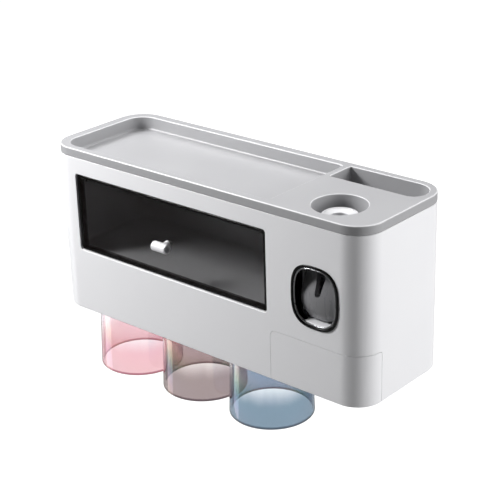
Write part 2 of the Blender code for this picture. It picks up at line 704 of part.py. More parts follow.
def make_access_cover(finish):
    """Corner cover with a floor, on two snap arms that reach through the catch wall."""
    loops = [at_height(body_outline(FOOT_CHAMFER), BOTTOM),
             at_height(body_outline(), BOTTOM + FOOT_CHAMFER),
             at_height(body_outline(), -30)]
    cover = loft("access_cover", loops, finish)
    cut(cover, upright("cover_inside", body_outline(COVER_WALL), (BOTTOM + COVER_WALL, 0)))
    keep_common(cover, cover_space("cover_shape", COVER_GAP))
    for k, x in enumerate(SNAP_ARMS):
        sides = (x - SNAP_HALF, x + SNAP_HALF)
        join(cover,
             box(f"snap_arm_{k}", sides, (FRONT + 1.2, -86), SNAP_Z),
             box(f"snap_bump_{k}", sides, *SNAP_BUMP))
    return cover


def make_cup(number, finish):
    """Tapered tumbler, hung mouth down, with a shallow seat for its disc in the base."""
    wall_foot = CUP_BASE - 4.5
    seat = DISC_RADIUS + GAP
    profile = [(0, CUP_BASE - 1.8), (seat, CUP_BASE - 1.8), (seat, CUP_BASE),
               (CUP_BASE_RADIUS - 2, CUP_BASE), (CUP_BASE_RADIUS - 0.5, CUP_BASE - 0.7),
               (CUP_BASE_RADIUS, CUP_BASE - 2.2), (CUP_MOUTH_RADIUS, CUP_MOUTH + 0.6),
               (CUP_MOUTH_RADIUS - 0.5, CUP_MOUTH), (CUP_MOUTH_RADIUS - CUP_WALL + 0.3, CUP_MOUTH),
               (CUP_MOUTH_RADIUS - CUP_WALL, CUP_MOUTH + 0.6),
               (CUP_BASE_RADIUS - CUP_WALL + 0.2, wall_foot - 3),
               (CUP_BASE_RADIUS - CUP_WALL - 2, wall_foot), (0, wall_foot)]
    place = (CUP_X[number - 1], CUP_Y, 0)
    return turned(f"cup_{number}", profile, place, "Z", 32, finish)


def make_cup_disc(number, finish):
    ends = (CUP_BASE - 1.5, CUP_BASE - 0.1)
    place = (CUP_X[number - 1], CUP_Y, 0)
    return rod(f"cup_disc_{number}", DISC_RADIUS, ends, place, "Z", 28, finish)


def make_magnet(number, finish):
    base = DECK_BOTTOM + 1.2 + GAP
    place = (CUP_X[number - 1], CUP_Y, 0)
    return rod(f"magnet_{number}", MAGNET_RADIUS, (base, base + 3), place, "Z", 24, finish)


def main():
    clear_scene()
    white = material("white_abs", (0.80, 0.80, 0.81), 0.30)
    grey = material("grey_abs", (0.31, 0.31, 0.315), 0.35)
    smoke = material("smoked_acrylic", (0.020, 0.018, 0.018), 0.08, alpha=0.6)
    black = material("black_gloss", (0.012, 0.012, 0.013), 0.15)
    chrome = material("chrome_trim", (0.62, 0.62, 0.63), 0.15, metallic=1.0)
    lever_grey = material("lever_grey", (0.14, 0.14, 0.145), 0.35)
    dark = material("dark_nozzle", (0.02, 0.02, 0.02), 0.40)
    steel = material("zinc_plated_steel", (0.56, 0.56, 0.55), 0.32, metallic=1.0)
    silicone = material("clear_silicone", (0.62, 0.62, 0.60), 0.45, alpha=0.8)
    foam = material("adhesive_foam", (0.18, 0.18, 0.18), 0.90)
    cups = [material("pink_styrene", (0.80, 0.36, 0.40), 0.10, alpha=0.6),
            material("taupe_styrene", (0.46, 0.38, 0.40), 0.10, alpha=0.6),
            material("blue_styrene", (0.26, 0.48, 0.64), 0.10, alpha=0.6)]

    make_adhesive_pad(foam)
    make_wall_plate(white)
    unit = [make_housing(white), make_tray(grey), make_storage_tub(white), make_back_panel(white),
            make_window_bezel(black), make_bezel_trim(chrome), make_drip_lip(white),
            make_pump_frame(white), make_lever_pin(steel), make_lever_spring(steel),
            make_inlet_adapter(white), make_inlet_seal(silicone), make_squeeze_tube(silicone),
            make_outlet_valve(silicone), make_outlet_nozzle(dark)]
    unit += [make_magnet(number, steel) for number in (1, 2, 3)]
    for number, place in enumerate(BACK_SCREWS, 1):
        unit.append(screw(f"back_screw_{number}", place, -0.9, -11.4, 2.8, 1.1, steel))
    for number, place in enumerate(PUMP_SCREWS, 1):
        unit.append(screw(f"pump_screw_{number}", place, -100.1, -112.5, 2.8, 1.0, steel))
    body = hang_on("unit_lift", (0, 0, 0), unit)

    knob_screw = screw("knob_screw", (KNOB_X, KNOB_Z), -114.4, -125.4, 2.8, 1.0, steel)
    door = [make_door(smoke), *make_hinge_pins(steel), make_knob(white), knob_screw]
    hang_on("door_flip", (KNOB_X, HINGE_Y, HINGE_Z), door, body)
    hang_on("lever_swing", (PUMP_X, PIVOT_Y, PIVOT_Z), [make_push_lever(lever_grey)], body)
    hang_on("plunger_slide", (PUMP_X, -98, PLUNGER_Z), [make_plunger(white)], body)
    hang_on("cover_pull", (HALF_WIDTH - 49, FRONT, -71), [make_access_cover(white)], body)
    for number, x in enumerate(CUP_X, 1):
        pieces = [make_cup(number, cups[number - 1]), make_cup_disc(number, steel)]
        hang_on(f"cup_pull_{number}", (x, CUP_Y, CUP_BASE), pieces, body)


main()
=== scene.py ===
import json
import math
from functools import partial

import bmesh
import bpy
import numpy as np
from mathutils import Matrix, Vector

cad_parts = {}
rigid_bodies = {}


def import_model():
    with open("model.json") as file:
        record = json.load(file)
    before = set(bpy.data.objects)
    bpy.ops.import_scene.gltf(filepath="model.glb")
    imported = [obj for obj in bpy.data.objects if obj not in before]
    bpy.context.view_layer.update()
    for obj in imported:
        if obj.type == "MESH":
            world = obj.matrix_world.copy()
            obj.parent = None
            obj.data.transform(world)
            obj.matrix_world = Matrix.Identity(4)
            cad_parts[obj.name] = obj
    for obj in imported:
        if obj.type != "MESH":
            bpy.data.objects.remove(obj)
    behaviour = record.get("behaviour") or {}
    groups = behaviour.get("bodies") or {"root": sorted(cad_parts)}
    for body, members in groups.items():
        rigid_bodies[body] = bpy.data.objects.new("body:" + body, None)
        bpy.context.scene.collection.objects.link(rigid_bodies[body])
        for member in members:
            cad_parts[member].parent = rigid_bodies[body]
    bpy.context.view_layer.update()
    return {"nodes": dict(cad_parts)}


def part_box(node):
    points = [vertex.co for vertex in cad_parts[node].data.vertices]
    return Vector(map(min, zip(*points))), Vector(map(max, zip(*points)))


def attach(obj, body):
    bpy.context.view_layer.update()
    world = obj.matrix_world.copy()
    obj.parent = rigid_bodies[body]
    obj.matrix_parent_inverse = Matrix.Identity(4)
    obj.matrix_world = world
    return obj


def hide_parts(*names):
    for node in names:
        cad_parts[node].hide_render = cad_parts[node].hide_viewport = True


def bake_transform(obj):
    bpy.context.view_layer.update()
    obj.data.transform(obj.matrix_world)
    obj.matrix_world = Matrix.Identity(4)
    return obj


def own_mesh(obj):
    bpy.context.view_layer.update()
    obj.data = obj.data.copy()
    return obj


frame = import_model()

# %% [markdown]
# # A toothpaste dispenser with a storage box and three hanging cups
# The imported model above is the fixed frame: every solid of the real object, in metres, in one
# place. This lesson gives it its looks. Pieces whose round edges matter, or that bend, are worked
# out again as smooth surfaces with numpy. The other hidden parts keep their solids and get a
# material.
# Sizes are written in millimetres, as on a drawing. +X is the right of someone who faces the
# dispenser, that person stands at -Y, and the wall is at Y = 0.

MM = 0.001

# %% [markdown]
# ## Sizes that the frame gives
# A new surface has to lie where its solid lies. Its place could be typed in again, but then the
# two would part when one of them changes, so the main sizes are read from the solids' own boxes.
# What a box can't tell, such as a wall's thickness or a corner's radius, is named where it is
# first needed.

# %% Sizes from the solids
def box_of(name):
    """A solid's lowest and highest corner in mm, to a tenth."""
    return np.round(np.array([list(corner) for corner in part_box(name)]) / MM, 1).tolist()


def middle_of(name):
    """The centre of a solid's box in mm, to a tenth."""
    return np.round(np.mean(box_of(name), axis=0), 1).tolist()


(_, FRONT, BOTTOM), (HALF_WIDTH, BACK, SHELL_TOP) = box_of("housing")
TRAY_TOP = box_of("tray")[1][2]
PUMP_X, _, WINDOW_Z = middle_of("window_bezel")
TUBE_Y = middle_of("squeeze_tube")[1]
_, PIVOT_Y, PIVOT_Z = middle_of("lever_pin")
_, HINGE_Y, HINGE_Z = middle_of("hinge_pin_left")
CUP_X = [middle_of(f"cup_{number}")[0] for number in (1, 2, 3)]
CUP_Y = middle_of("cup_1")[1]
print("body:", HALF_WIDTH, FRONT, BACK, BOTTOM, SHELL_TOP, "tray:", TRAY_TOP)
print("window:", PUMP_X, WINDOW_Z, "tube:", TUBE_Y, "cups:", CUP_X, CUP_Y)
print("lever's pin:", PIVOT_Y, PIVOT_Z, "door's pins:", HINGE_Y, HINGE_Z)

# %% [markdown]
# ## The camera
# The photograph looks at the front's right corner from a little above. Its lens is long, so the
# sides stay almost parallel. The camera could be set by eye, but here its place was worked out
# from the corners of the door, the tray and the body, so it is written as numbers.

# %% Camera
AZIMUTH, ELEVATION, ROLL = math.radians(41.289), math.radians(23.096), math.radians(-1.684)
EYE = (771.81, -927.66, 478.37)
LENS, SENSOR = 101.13, 36


def way_to(turn, height):
    """Unit vector (sin t cos h, -cos t cos h, sin h) to a compass turn and a height in radians."""
    return np.array([math.sin(turn) * math.cos(height), -math.cos(turn) * math.cos(height),
                     math.sin(height)])


def camera_axes():
    """Rows right, up and back: the view's axes at its azimuth and elevation, then rolled."""
    back = way_to(AZIMUTH, ELEVATION)
    right = np.array([math.cos(AZIMUTH), math.sin(AZIMUTH), 0])
    up = np.cross(back, right)
    sr, cr = math.sin(ROLL), math.cos(ROLL)
    return np.array([cr * right + sr * up, cr * up - sr * right, back])


camera = bpy.data.objects.new("camera", bpy.data.cameras.new("camera"))
bpy.context.scene.collection.objects.link(camera)
placing = np.eye(4)
placing[:3, :3] = camera_axes().T
placing[:3, 3] = np.array(EYE) * MM
camera.matrix_world = Matrix(placing.tolist())
camera.data.lens, camera.data.sensor_width = LENS, SENSOR
bpy.context.scene.camera = camera
print("camera at", [round(v, 3) for v in camera.location])

# %% [markdown]
# ## From a grid of numbers to a mesh
# Almost every moulded part here is one line carried around another: a wall section carried round
# the body's outline, or a profile turned about an axis. So a shape is an array of rows and
# columns of points, and one function joins neighbours with four-sided faces. Merging doubles
# closes the seams and the poles, and the normals are worked out again after that.

# %% Grid to mesh
WELD = 2e-6


def skin(name, grid, ring=False):
    """Rows x columns x 3 points, in mm, to a closed mesh object in metres.

    Point (i, j) joins (i, j + 1) and (i + 1, j), and the last column joins the first. With ring
    the last row joins the first row too, and without it each end row is closed by one face.
    """
    grid = np.asarray(grid, float) * MM
    index = np.arange(grid.shape[0] * grid.shape[1]).reshape(grid.shape[:2])
    rows = np.vstack([index, index[:1]]) if ring else index
    beside = np.roll(rows, -1, axis=1)
    faces = np.stack([rows[:-1], beside[:-1], beside[1:], rows[1:]], -1).reshape(-1, 4).tolist()
    if not ring:
        faces += [index[0].tolist(), index[-1].tolist()]
    mesh = bpy.data.meshes.new(name)
    mesh.from_pydata(grid.reshape(-1, 3).tolist(), [], faces)
    bm = bmesh.new()
    bm.from_mesh(mesh)
    bmesh.ops.remove_doubles(bm, verts=bm.verts[:], dist=WELD)
    bmesh.ops.recalc_face_normals(bm, faces=bm.faces[:])
    bm.to_mesh(mesh)
    bm.free()
    piece = bpy.data.objects.new(name, mesh)
    bpy.context.scene.collection.objects.link(piece)
    return piece


# %% [markdown]
# ## Outlines
# Two closed curves are enough for this object: the rounded rectangle of its body, tray and door,
# and the superellipse of its window. Each is drawn once for every inset in a list, with the same
# number of points, so that the outlines can be joined row by row.

# %% Rounded rectangle and superellipse
ARC_STEPS, SIDE_STEP, LEAST_RADIUS = 20, 8, 0.2


def rounded(limits, radii, insets):
    """One rounded rectangle for each inset, walked from (u0, v0) anticlockwise.

    Each corner is an arc of its radius less the inset about a centre that stays put, and each
    side between two arcs is cut into equal steps of about 8 mm. radii is one or four numbers.
    """
    u0, u1, v0, v1 = limits
    corner = np.array([(u0, v0), (u1, v0), (u1, v1), (u0, v1)], float)
    inward = np.array([(1, 1), (-1, 1), (-1, -1), (1, -1)], float)
    insets = np.atleast_1d(np.asarray(insets, float))[:, None]
    r = np.maximum(np.broadcast_to(radii, 4) - insets, LEAST_RADIUS)
    centre = corner + inward * (insets + r)[..., None]
    turn = math.pi + (np.arange(4)[:, None] + np.linspace(0, 1, ARC_STEPS + 1)) * math.pi / 2
    arcs = centre[:, :, None] + r[..., None, None] * np.stack([np.cos(turn), np.sin(turn)], -1)
    walk = []
    for k, length in enumerate((u1 - u0, v1 - v0, u1 - u0, v1 - v0)):
        share = np.linspace(0, 1, max(int(length / SIDE_STEP), 1) + 1)[1:-1, None]
        last, following = arcs[:, k, -1:], arcs[:, (k + 1) % 4, :1]
        walk += [arcs[:, k], last + (following - last) * share]
    return np.concatenate(walk, axis=1)


WINDOW_HALF = np.round(np.ptp(box_of("window_bezel"), axis=0)[[0, 2]] / 2, 1)
OVAL_POWER, OVAL_STEPS = 2.9, 144


def oval(insets):
    """One superellipse |u/a|^n + |v/b|^n = 1 for each inset, a and b drawn in by it.

    Its points are u = a sgn(cos t)|cos t|^(2/n) and v = b sgn(sin t)|sin t|^(2/n). They are
    drawn finely first, and then spread evenly along the curve.
    """
    t = np.linspace(0, 2 * np.pi, 4001)
    u = np.sign(np.cos(t)) * np.abs(np.cos(t)) ** (2 / OVAL_POWER)
    v = np.sign(np.sin(t)) * np.abs(np.sin(t)) ** (2 / OVAL_POWER)
    step = np.hypot(np.diff(u) * WINDOW_HALF[0], np.diff(v) * WINDOW_HALF[1])
    walked = np.concatenate([[0], np.cumsum(step)])
    at = np.linspace(0, walked[-1], OVAL_STEPS, endpoint=False)
    unit = np.stack([np.interp(at, walked, u), np.interp(at, walked, v)], -1)
    size = WINDOW_HALF - np.atleast_1d(np.asarray(insets, float))[:, None]
    return np.array([PUMP_X, WINDOW_Z]) + size[:, None] * unit


print("window, half width and half height:", WINDOW_HALF.tolist())

# %% [markdown]
# ## Profiles
# The second line of each part is its profile, the section of the wall, the rim or the cutter that
# is carried round the outline. Round edges are arcs of a true radius.

# %% Shapes from an outline and a profile
def moulding(name, outline, profile, plane="Z", ring=False):
    """Carry a profile round an outline: row i is the outline at inset i, set at level i.

    outline turns insets into rows x columns x 2 points, profile is rows of (inset, level), and
    plane names the axis that the levels lie on.
    """
    profile = np.asarray(profile, float)
    flat = outline(profile[:, 0])
    level = np.broadcast_to(profile[:, 1:], flat.shape[:2])
    u, v = flat[..., 0], flat[..., 1]
    axes = {"Z": (u, v, level), "Y": (u, level, v), "X": (level, u, v)}[plane]
    return skin(name, np.stack(axes, -1), ring)


def slab(name, limits, radii, profile, plane="Z"):
    """A rounded rectangle given depth: profile is two levels, or rows of (inset, level)."""
    if np.ndim(profile) == 1:
        profile = [(0, level) for level in profile]
    return moulding(name, lambda insets: rounded(limits, radii, insets), profile, plane)


# %% Arcs and rims
def arc(centre, radius, start, stop, steps=8):
    """Points of a circle about a centre from one angle to another, in degrees."""
    a = np.radians(np.linspace(start, stop, steps + 1))
    return np.stack([centre[0] + radius * np.cos(a), centre[1] + radius * np.sin(a)], -1)


FLARE_END, FLARE_ROWS, FLARE_LIFT, FLARE_TALL = 80, 9, 0.02, 12


def flare(face, radius, floor, way=1, fillet=0.0):
    """Profile of a cutter that leaves a round rim of a radius in a face.

    It rises from floor, where fillet rounds its edge, goes outwards on an arc to 80 degrees,
    leaves the face at that slope and ends well beyond it. way is 1 or -1, the sign of outwards
    on the level's axis.
    """
    b = np.radians(np.linspace(0, 90, FLARE_ROWS if fillet else 1))
    low = np.stack([fillet * (1 - np.sin(b)), floor + way * fillet * (1 - np.cos(b))], -1)
    a = np.radians(np.linspace(0, FLARE_END, FLARE_ROWS))
    rim = np.stack([radius * (np.cos(a) - 1), face - way * radius * (1 - np.sin(a))], -1)
    rise = radius * (1 - math.sin(a[-1])) + FLARE_LIFT
    out = rim[-1, 0] - rise / math.tan(math.radians(90 - FLARE_END))
    beyond = [(out, face + way * FLARE_LIFT), (out, face + way * FLARE_TALL)]
    return np.vstack([low, rim, beyond])


print("rows of a flared rim:", len(flare(0, 1, -5)))


# %% Turned shapes and blocks
def turned(name, profile, centre, axis="Z", steps=96, ring=False):
    """Surface of revolution: (radius, along) goes to (radius cos t, radius sin t, along)."""
    profile = np.asarray(profile, float)
    t = np.linspace(0, 2 * np.pi, steps, endpoint=False)
    c, s = profile[:, :1] * np.cos(t), profile[:, :1] * np.sin(t)
    along = np.broadcast_to(profile[:, 1:], c.shape)
    axes = {"X": (along, c, s), "Y": (c, along, s), "Z": (c, s, along)}[axis]
    return skin(name, np.stack(axes, -1) + np.array(centre, float), ring)


def rod(name, radius, ends, centre, axis="Z", steps=32):
    """A plain round bar between two distances along an axis from its centre."""
    return turned(name, [(radius, ends[0]), (radius, ends[1])], centre, axis, steps)


def block(name, x, y, z):
    """A block between two limits on each axis: four corners at two levels."""
    square = np.array([(x[0], y[0]), (x[1], y[0]), (x[1], y[1]), (x[0], y[1])], float)
    level = np.repeat(np.array(z, float), 4).reshape(2, 4, 1)
    return skin(name, np.concatenate([np.stack([square, square]), level], -1))


# %% [markdown]
# ## Solid arithmetic
# Openings, pockets and joined walls are made as a tool room makes them: shapes are added to a
# block or taken out of it. Blender's Boolean modifier does that exactly. When a piece is done its
# result becomes its own mesh, edges sharper than 32 degrees are marked, and face-weighted normals
# keep the flats flat beside small round edges.

# %% Boolean, settle and fit
SHARP = math.radians(32)


def combine(way, piece, *others):
    """UNION adds the other shapes, DIFFERENCE takes them out, INTERSECT keeps the common part."""
    for other in others:
        step = piece.modifiers.new(other.name, "BOOLEAN")
        step.operation, step.solver, step.object = way, "EXACT", other
    return piece


join, cut, common = (partial(combine, way) for way in ("UNION", "DIFFERENCE", "INTERSECT"))


def settle(piece):
    """Make what the modifiers give the piece's own mesh, and remove the helper shapes."""
    helpers = [step.object for step in piece.modifiers if step.type == "BOOLEAN"]
    graph = bpy.context.evaluated_depsgraph_get()
    mesh = bpy.data.meshes.new_from_object(piece.evaluated_get(graph))
    piece.modifiers.clear()
    piece.data = mesh
    for helper in helpers:
        bpy.data.objects.remove(helper, do_unlink=True)
    return piece


def mark(piece, name, share):
    """Store a share from 0 to 1 for each vertex, worked out by a function of points and normals."""
    points, normals = np.empty((2, len(piece.data.vertices) * 3))
    piece.data.vertices.foreach_get("co", points)
    piece.data.vertices.foreach_get("normal", normals)
    layer = piece.data.attributes.new(name, "FLOAT", "POINT")
    layer.data.foreach_set("value", share(points.reshape(-1, 3) / MM, normals.reshape(-1, 3)))


def fit(piece, finish, body, slot, *nodes):
    """Finish a piece: settle it, smooth it, paint it, and let it ride on a body for its nodes.

    Without a body it rides on nothing.
    """
    settle(piece)
    piece.data.shade_smooth()
    piece.data.set_sharp_from_angle(angle=SHARP)
    piece.modifiers.new("flats", "WEIGHTED_NORMAL").keep_sharp = True
    settle(piece)
    piece.data.materials.clear()
    piece.data.materials.append(finish)
    if body:
        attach(piece, body)
    if nodes:
        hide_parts(*nodes)
    print(f"{piece.name}: {len(piece.data.polygons)} faces")
    return piece


# %% [markdown]
# ## Colour and nodes
# Colours are picked as sRGB hex values, as from a colour card, but Blender's shaders work in
# linear light. One function turns the one into the other, and one adds a node with its settings
# and links, so that each material below reads as a short list.

# %% Colour and node helpers
def linear(hex_colour):
    """sRGB hex to linear RGBA: c / 12.92 near black, else ((c + 0.055) / 1.055) ** 2.4."""
    value = np.array([int(hex_colour[i:i + 2], 16) for i in (1, 3, 5)]) / 255
    light = np.where(value <= 0.04045, value / 12.92, ((value + 0.055) / 1.055) ** 2.4)
    return (*light.tolist(), 1.0)


def feed(tree, node, inputs):
    """Fill a node's inputs: each takes a value, a socket, or the first output of another node."""
    for name, value in inputs.items():
        value = value.outputs[0] if isinstance(value, bpy.types.Node) else value
        if isinstance(value, bpy.types.NodeSocket):
            tree.links.new(value, node.inputs[name])
        else:
            node.inputs[name].default_value = value


def add(tree, kind, inputs, **settings):
    """Add a shader node of a kind to a tree, set its own properties and feed its inputs."""
    made = tree.nodes.new("ShaderNode" + kind)
    for name, value in settings.items():
        setattr(made, name, value)
    feed(tree, made, inputs)
    return made


def new_material(name, **constants):
    """A Principled material, its tree and shader, and the place on the object as a socket.

    constants are set on the shader's own sockets.
    """
    made = bpy.data.materials.new(name)
    made.use_nodes = True
    tree = made.node_tree
    shader = tree.nodes["Principled BSDF"]
    for key, value in constants.items():
        shader.inputs[key.replace("_", " ")].default_value = value
    return made, tree, shader, add(tree, "TexCoord", {}).outputs["Object"]


# %% [markdown]
# ## Moulded ABS
# The body, tray, lever, funnel and window ring are injection-moulded ABS, a tough opaque plastic
# whose IOR is about 1.54. The mould is lightly spark-eroded, which gives the skin a satin sheen
# and a grain of about 0.1 mm. A pixel here is about 1 mm, so the grain is drawn at 1.1 mm, just
# enough to break the highlights. The plastic also flows as it fills the mould, which leaves very
# faint broad clouds in colour and in gloss, a few centimetres across. On the lever the flow is
# drawn out into upright streaks. The tray's upper edges are painted paler, a painted highlight
# along the rim. The pump's nozzle is acetal, a harder plastic moulded in the same way. One
# function covers them all, because they differ only in colour, gloss and the size of these marks.

# %% Moulded plastic
def moulded(name, colour, roughness, grain=1.1, cloud=45, tone=0.03, relief=0.02, flow=(1, 1, 1),
            rim=None, **constants):
    """ABS as it leaves the mould: clouds change the colour and gloss, and grain the relief.

    grain and cloud are sizes in mm, tone is how far a cloud darkens, relief is the grain's height
    in mm, flow stretches the clouds where it is below 1, and rim is a painted highlight's colour.
    """
    made, tree, shader, place = new_material(name, IOR=1.54, **constants)
    drawn = add(tree, "Mapping", {"Vector": place, "Scale": flow})
    clouds = add(tree, "TexNoise", {"Vector": drawn, "Scale": 1 / (cloud * MM), "Detail": 3.0,
                                    "Roughness": 0.55})
    fine = add(tree, "TexNoise", {"Vector": place, "Scale": 1 / (grain * MM), "Detail": 2.0,
                                  "Roughness": 0.6})
    full = np.array(linear(colour))
    dim = full * np.array([1 - tone, 1 - tone, 1 - tone * 0.8, 1])
    shade = add(tree, "MixRGB", {"Fac": clouds, "Color1": tuple(dim), "Color2": tuple(full)})
    gloss = add(tree, "MapRange", {"Value": clouds, "From Min": 0.3, "From Max": 0.7,
                                   "To Min": roughness - 0.03, "To Max": roughness + 0.04})
    bump = add(tree, "Bump", {"Height": fine, "Strength": 0.25, "Distance": relief * MM})
    # Painted highlight: edges marked by the attribute rim are mixed towards a paler colour.
    if rim:
        painted_highlight = add(tree, "Attribute", {}, attribute_name="rim").outputs["Fac"]
        shade = add(tree, "MixRGB", {"Fac": painted_highlight, "Color1": shade, "Color2": linear(rim)})
    feed(tree, shader, {"Base Color": shade, "Roughness": gloss, "Normal": bump})
    return made


white_abs = moulded("white_satin_moulded_abs", "#E8E8EA", 0.34)
# The tray's rim colour is a painted highlight on its marked upper edges.
tray_abs = moulded("light_grey_satin_moulded_abs", "#A2A2A4", 0.34, tone=0.04, rim="#CFCFD1")
lever_abs = moulded("mid_grey_moulded_abs", "#808082", 0.28, cloud=5, tone=0.12, flow=(1, 1, 0.06))
black_abs = moulded("black_gloss_moulded_abs", "#030303", 0.15, grain=2.0, relief=0.004,
                    Specular_IOR_Level=0.2)
# The funnel is white ABS; this darker copy of the white is painted shade.
shaded_white_abs = moulded("white_moulded_abs_painted_shade", "#C9C9CB", 0.30, cloud=12)
dark_pom = moulded("dark_moulded_acetal", "#2A2A2C", 0.32, cloud=8)
for plastic in (white_abs, tray_abs, lever_abs, black_abs, shaded_white_abs, dark_pom):
    print("moulded plastic:", plastic.name)

# %% [markdown]
# ## See-through plastics
# The flip door is smoked acrylic with a polished face, and the cups are tinted clear polystyrene,
# moulded thin and glossy. Both could be full glass with bending rays. The door is dark and flat,
# so bending would hardly show, and a half-transparent gloss lets the lamps light the box behind
# it without noise. The cups are full glass. Light that goes a long way through their wall comes
# out darker, so the colour deepens at the mouth's rim and where the wall turns away from the eye.

# %% Smoked acrylic
WIPE_SIZE, RIM_ALPHA, RIM_COLOUR = 30, 0.97, "#060505"


def smoked(name, colour, alpha):
    """Dark clear sheet: a polished skin over a tint that lets part of the light through.

    The thick rim round the sheet, marked by the attribute rim, lets almost none through. A haze
    of fine wipe marks, 30 mm across, varies the gloss a little.
    """
    made, tree, shader, place = new_material(name, IOR=1.49, Specular_IOR_Level=0.25)
    haze = add(tree, "TexNoise", {"Vector": place, "Scale": 1 / (WIPE_SIZE * MM), "Detail": 2.0})
    gloss = add(tree, "MapRange", {"Value": haze, "To Min": 0.05, "To Max": 0.09})
    thick = add(tree, "Attribute", {}, attribute_name="rim").outputs["Fac"]
    cover = add(tree, "MapRange", {"Value": thick, "To Min": alpha, "To Max": RIM_ALPHA})
    shade = add(tree, "MixRGB", {"Fac": thick, "Color1": linear(colour),
                                 "Color2": linear(RIM_COLOUR)})
    feed(tree, shader, {"Base Color": shade, "Alpha": cover, "Roughness": gloss})
    return made


smoked_acrylic = smoked("smoked_polished_acrylic", "#15100F", 0.34)
print("door:", smoked_acrylic.name)


# %% Tinted polystyrene
TINT_AND_SHADE_Z, TINT_WAVE, FLOW_SCALE = (-112, -144), 8, (90, 90, 6)
FILM_Z, FILM_NANOMETRES, EDGE_FACING = (-165, -95), (330.0, 560.0), (0.72, 0.97)


def tinted(name, upper, lower, edge):
    """Clear tinted styrene, paler above and deeper at the mouth; the difference is painted shade.

    edge is the colour of a long way through the wall: at the mouth's rim, marked by the attribute
    rim, and where the wall turns away from the eye. The plastic's flow makes the change of tint
    a little wavy. A skin thinner than light's wave gives the highlights a faint rainbow, and it
    is thicker towards the base, so the rainbow's colours change along the cup.
    """
    made, tree, shader, place = new_material(name, IOR=1.5, Transmission_Weight=1.0,
                                             Roughness=0.03, Thin_Film_IOR=1.64)
    drawn = add(tree, "Mapping", {"Vector": place, "Scale": FLOW_SCALE})
    flow = add(tree, "TexNoise", {"Vector": drawn, "Scale": 1.0})
    wave = add(tree, "Math", {0: flow, 1: TINT_WAVE * MM}, operation="MULTIPLY")
    height = add(tree, "SeparateXYZ", {"Vector": place}).outputs["Z"]
    level = add(tree, "Math", {0: height, 1: wave}, operation="ADD")
    # Painted shade: the colour goes from the pale upper one to the deeper lower one towards the
    # mouth.
    share = add(tree, "MapRange", {"Value": level, "From Min": TINT_AND_SHADE_Z[0] * MM,
                                   "From Max": TINT_AND_SHADE_Z[1] * MM}, interpolation_type="SMOOTHSTEP")
    shade = add(tree, "MixRGB", {"Fac": share, "Color1": linear(upper), "Color2": linear(lower)})
    film = add(tree, "MapRange", {"Value": level, "From Min": FILM_Z[0] * MM,
                                  "From Max": FILM_Z[1] * MM, "To Min": FILM_NANOMETRES[0],
                                  "To Max": FILM_NANOMETRES[1]})
    away = add(tree, "LayerWeight", {"Blend": 0.5}).outputs["Facing"]
    side = add(tree, "MapRange", {"Value": away, "From Min": EDGE_FACING[0],
                                  "From Max": EDGE_FACING[1]}, interpolation_type="SMOOTHSTEP")
    lip = add(tree, "Attribute", {}, attribute_name="rim").outputs["Fac"]
    deep = add(tree, "Math", {0: side, 1: lip}, operation="MAXIMUM")
    tint = add(tree, "MixRGB", {"Fac": deep, "Color1": shade, "Color2": linear(edge)})
    feed(tree, shader, {"Base Color": tint, "Thin Film Thickness": film})
    return made


# The change from each upper to lower colour is painted shade on the cups' own tint.
cup_plastic = [tinted("pink_clear_polystyrene", "#FFFCFD", "#E4BAC1", "#A8707B"),
               tinted("taupe_clear_polystyrene", "#F8EEEA", "#9A8C8C", "#5C5052"),
               tinted("blue_clear_polystyrene", "#EEF4F9", "#7A8FA0", "#465763")]
print("cups:", [plastic.name for plastic in cup_plastic])

# %% [markdown]
# ## Metals, silicone and foam
# The screws, pins, discs and the spring are zinc-plated steel: barrel plating leaves a soft,
# slightly cloudy mirror. The ring inside the window is vacuum-chromed plastic, a clean mirror.
# The pump's soft parts are milky silicone rubber, and the wall pad is grey closed-cell foam.

# %% Metals and soft materials
def plated(name, colour, roughness, cloud):
    """Plated metal: its gloss wanders with the clouds of the plating, cloud mm across."""
    made, tree, shader, place = new_material(name, Metallic=1.0)
    mist = add(tree, "TexNoise", {"Vector": place, "Scale": 1 / (cloud * MM), "Detail": 4.0})
    gloss = add(tree, "MapRange", {"Value": mist, "From Min": 0.3, "From Max": 0.7,
                                   "To Min": roughness - 0.06, "To Max": roughness + 0.08})
    full = np.array(linear(colour))
    dim = full * [0.86, 0.86, 0.84, 1]
    shade = add(tree, "MixRGB", {"Fac": mist, "Color1": tuple(dim), "Color2": tuple(full)})
    feed(tree, shader, {"Base Color": shade, "Roughness": gloss})
    return made


def rubbery(name, colour, roughness, cell, depth, **constants):
    """Soft material with round cells of a size in mm: pores in foam, haze in silicone."""
    made, tree, shader, place = new_material(name, Roughness=roughness, **constants)
    cells = add(tree, "TexVoronoi", {"Vector": place, "Scale": 1 / (cell * MM)})
    full = np.array(linear(colour))
    dim = full * [0.8, 0.8, 0.8, 1]
    shade = add(tree, "MixRGB", {"Fac": cells, "Color1": tuple(dim), "Color2": tuple(full)})
    bump = add(tree, "Bump", {"Height": cells, "Strength": 0.5, "Distance": depth * MM})
    feed(tree, shader, {"Base Color": shade, "Normal": bump})
    return made


zinc = plated("zinc_plated_steel", "#C6C7C4", 0.30, 3)
chrome = plated("vacuum_chromed_plastic", "#A2A3A6", 0.26, 12)
silicone = rubbery("milky_moulded_silicone", "#D8D8D2", 0.45, 2.5, 0.01, Subsurface_Weight=0.3)
foam = rubbery("grey_closed_cell_foam", "#77777A", 0.9, 0.8, 0.15)
print("metals and soft parts:", zinc.name, chrome.name, silicone.name, foam.name)

# %% [markdown]
# ## The body shell
# The body is one moulding: a wall 2.6 mm thick, open on top under the tray, with a deck that
# hangs the cups and a bay for the pump at the right. A solid could be drilled out, but a wall
# profile carried round the body's outline gives even corners and lets the foot and the upper edge
# have their true radius. The door and window openings are cut by shapes that flare at the face,
# so each rim is round as on the real part.

# %% The body's outline
WALL, GAP = 2.6, 0.3
CORNERS = (24, 24, 26, 26)


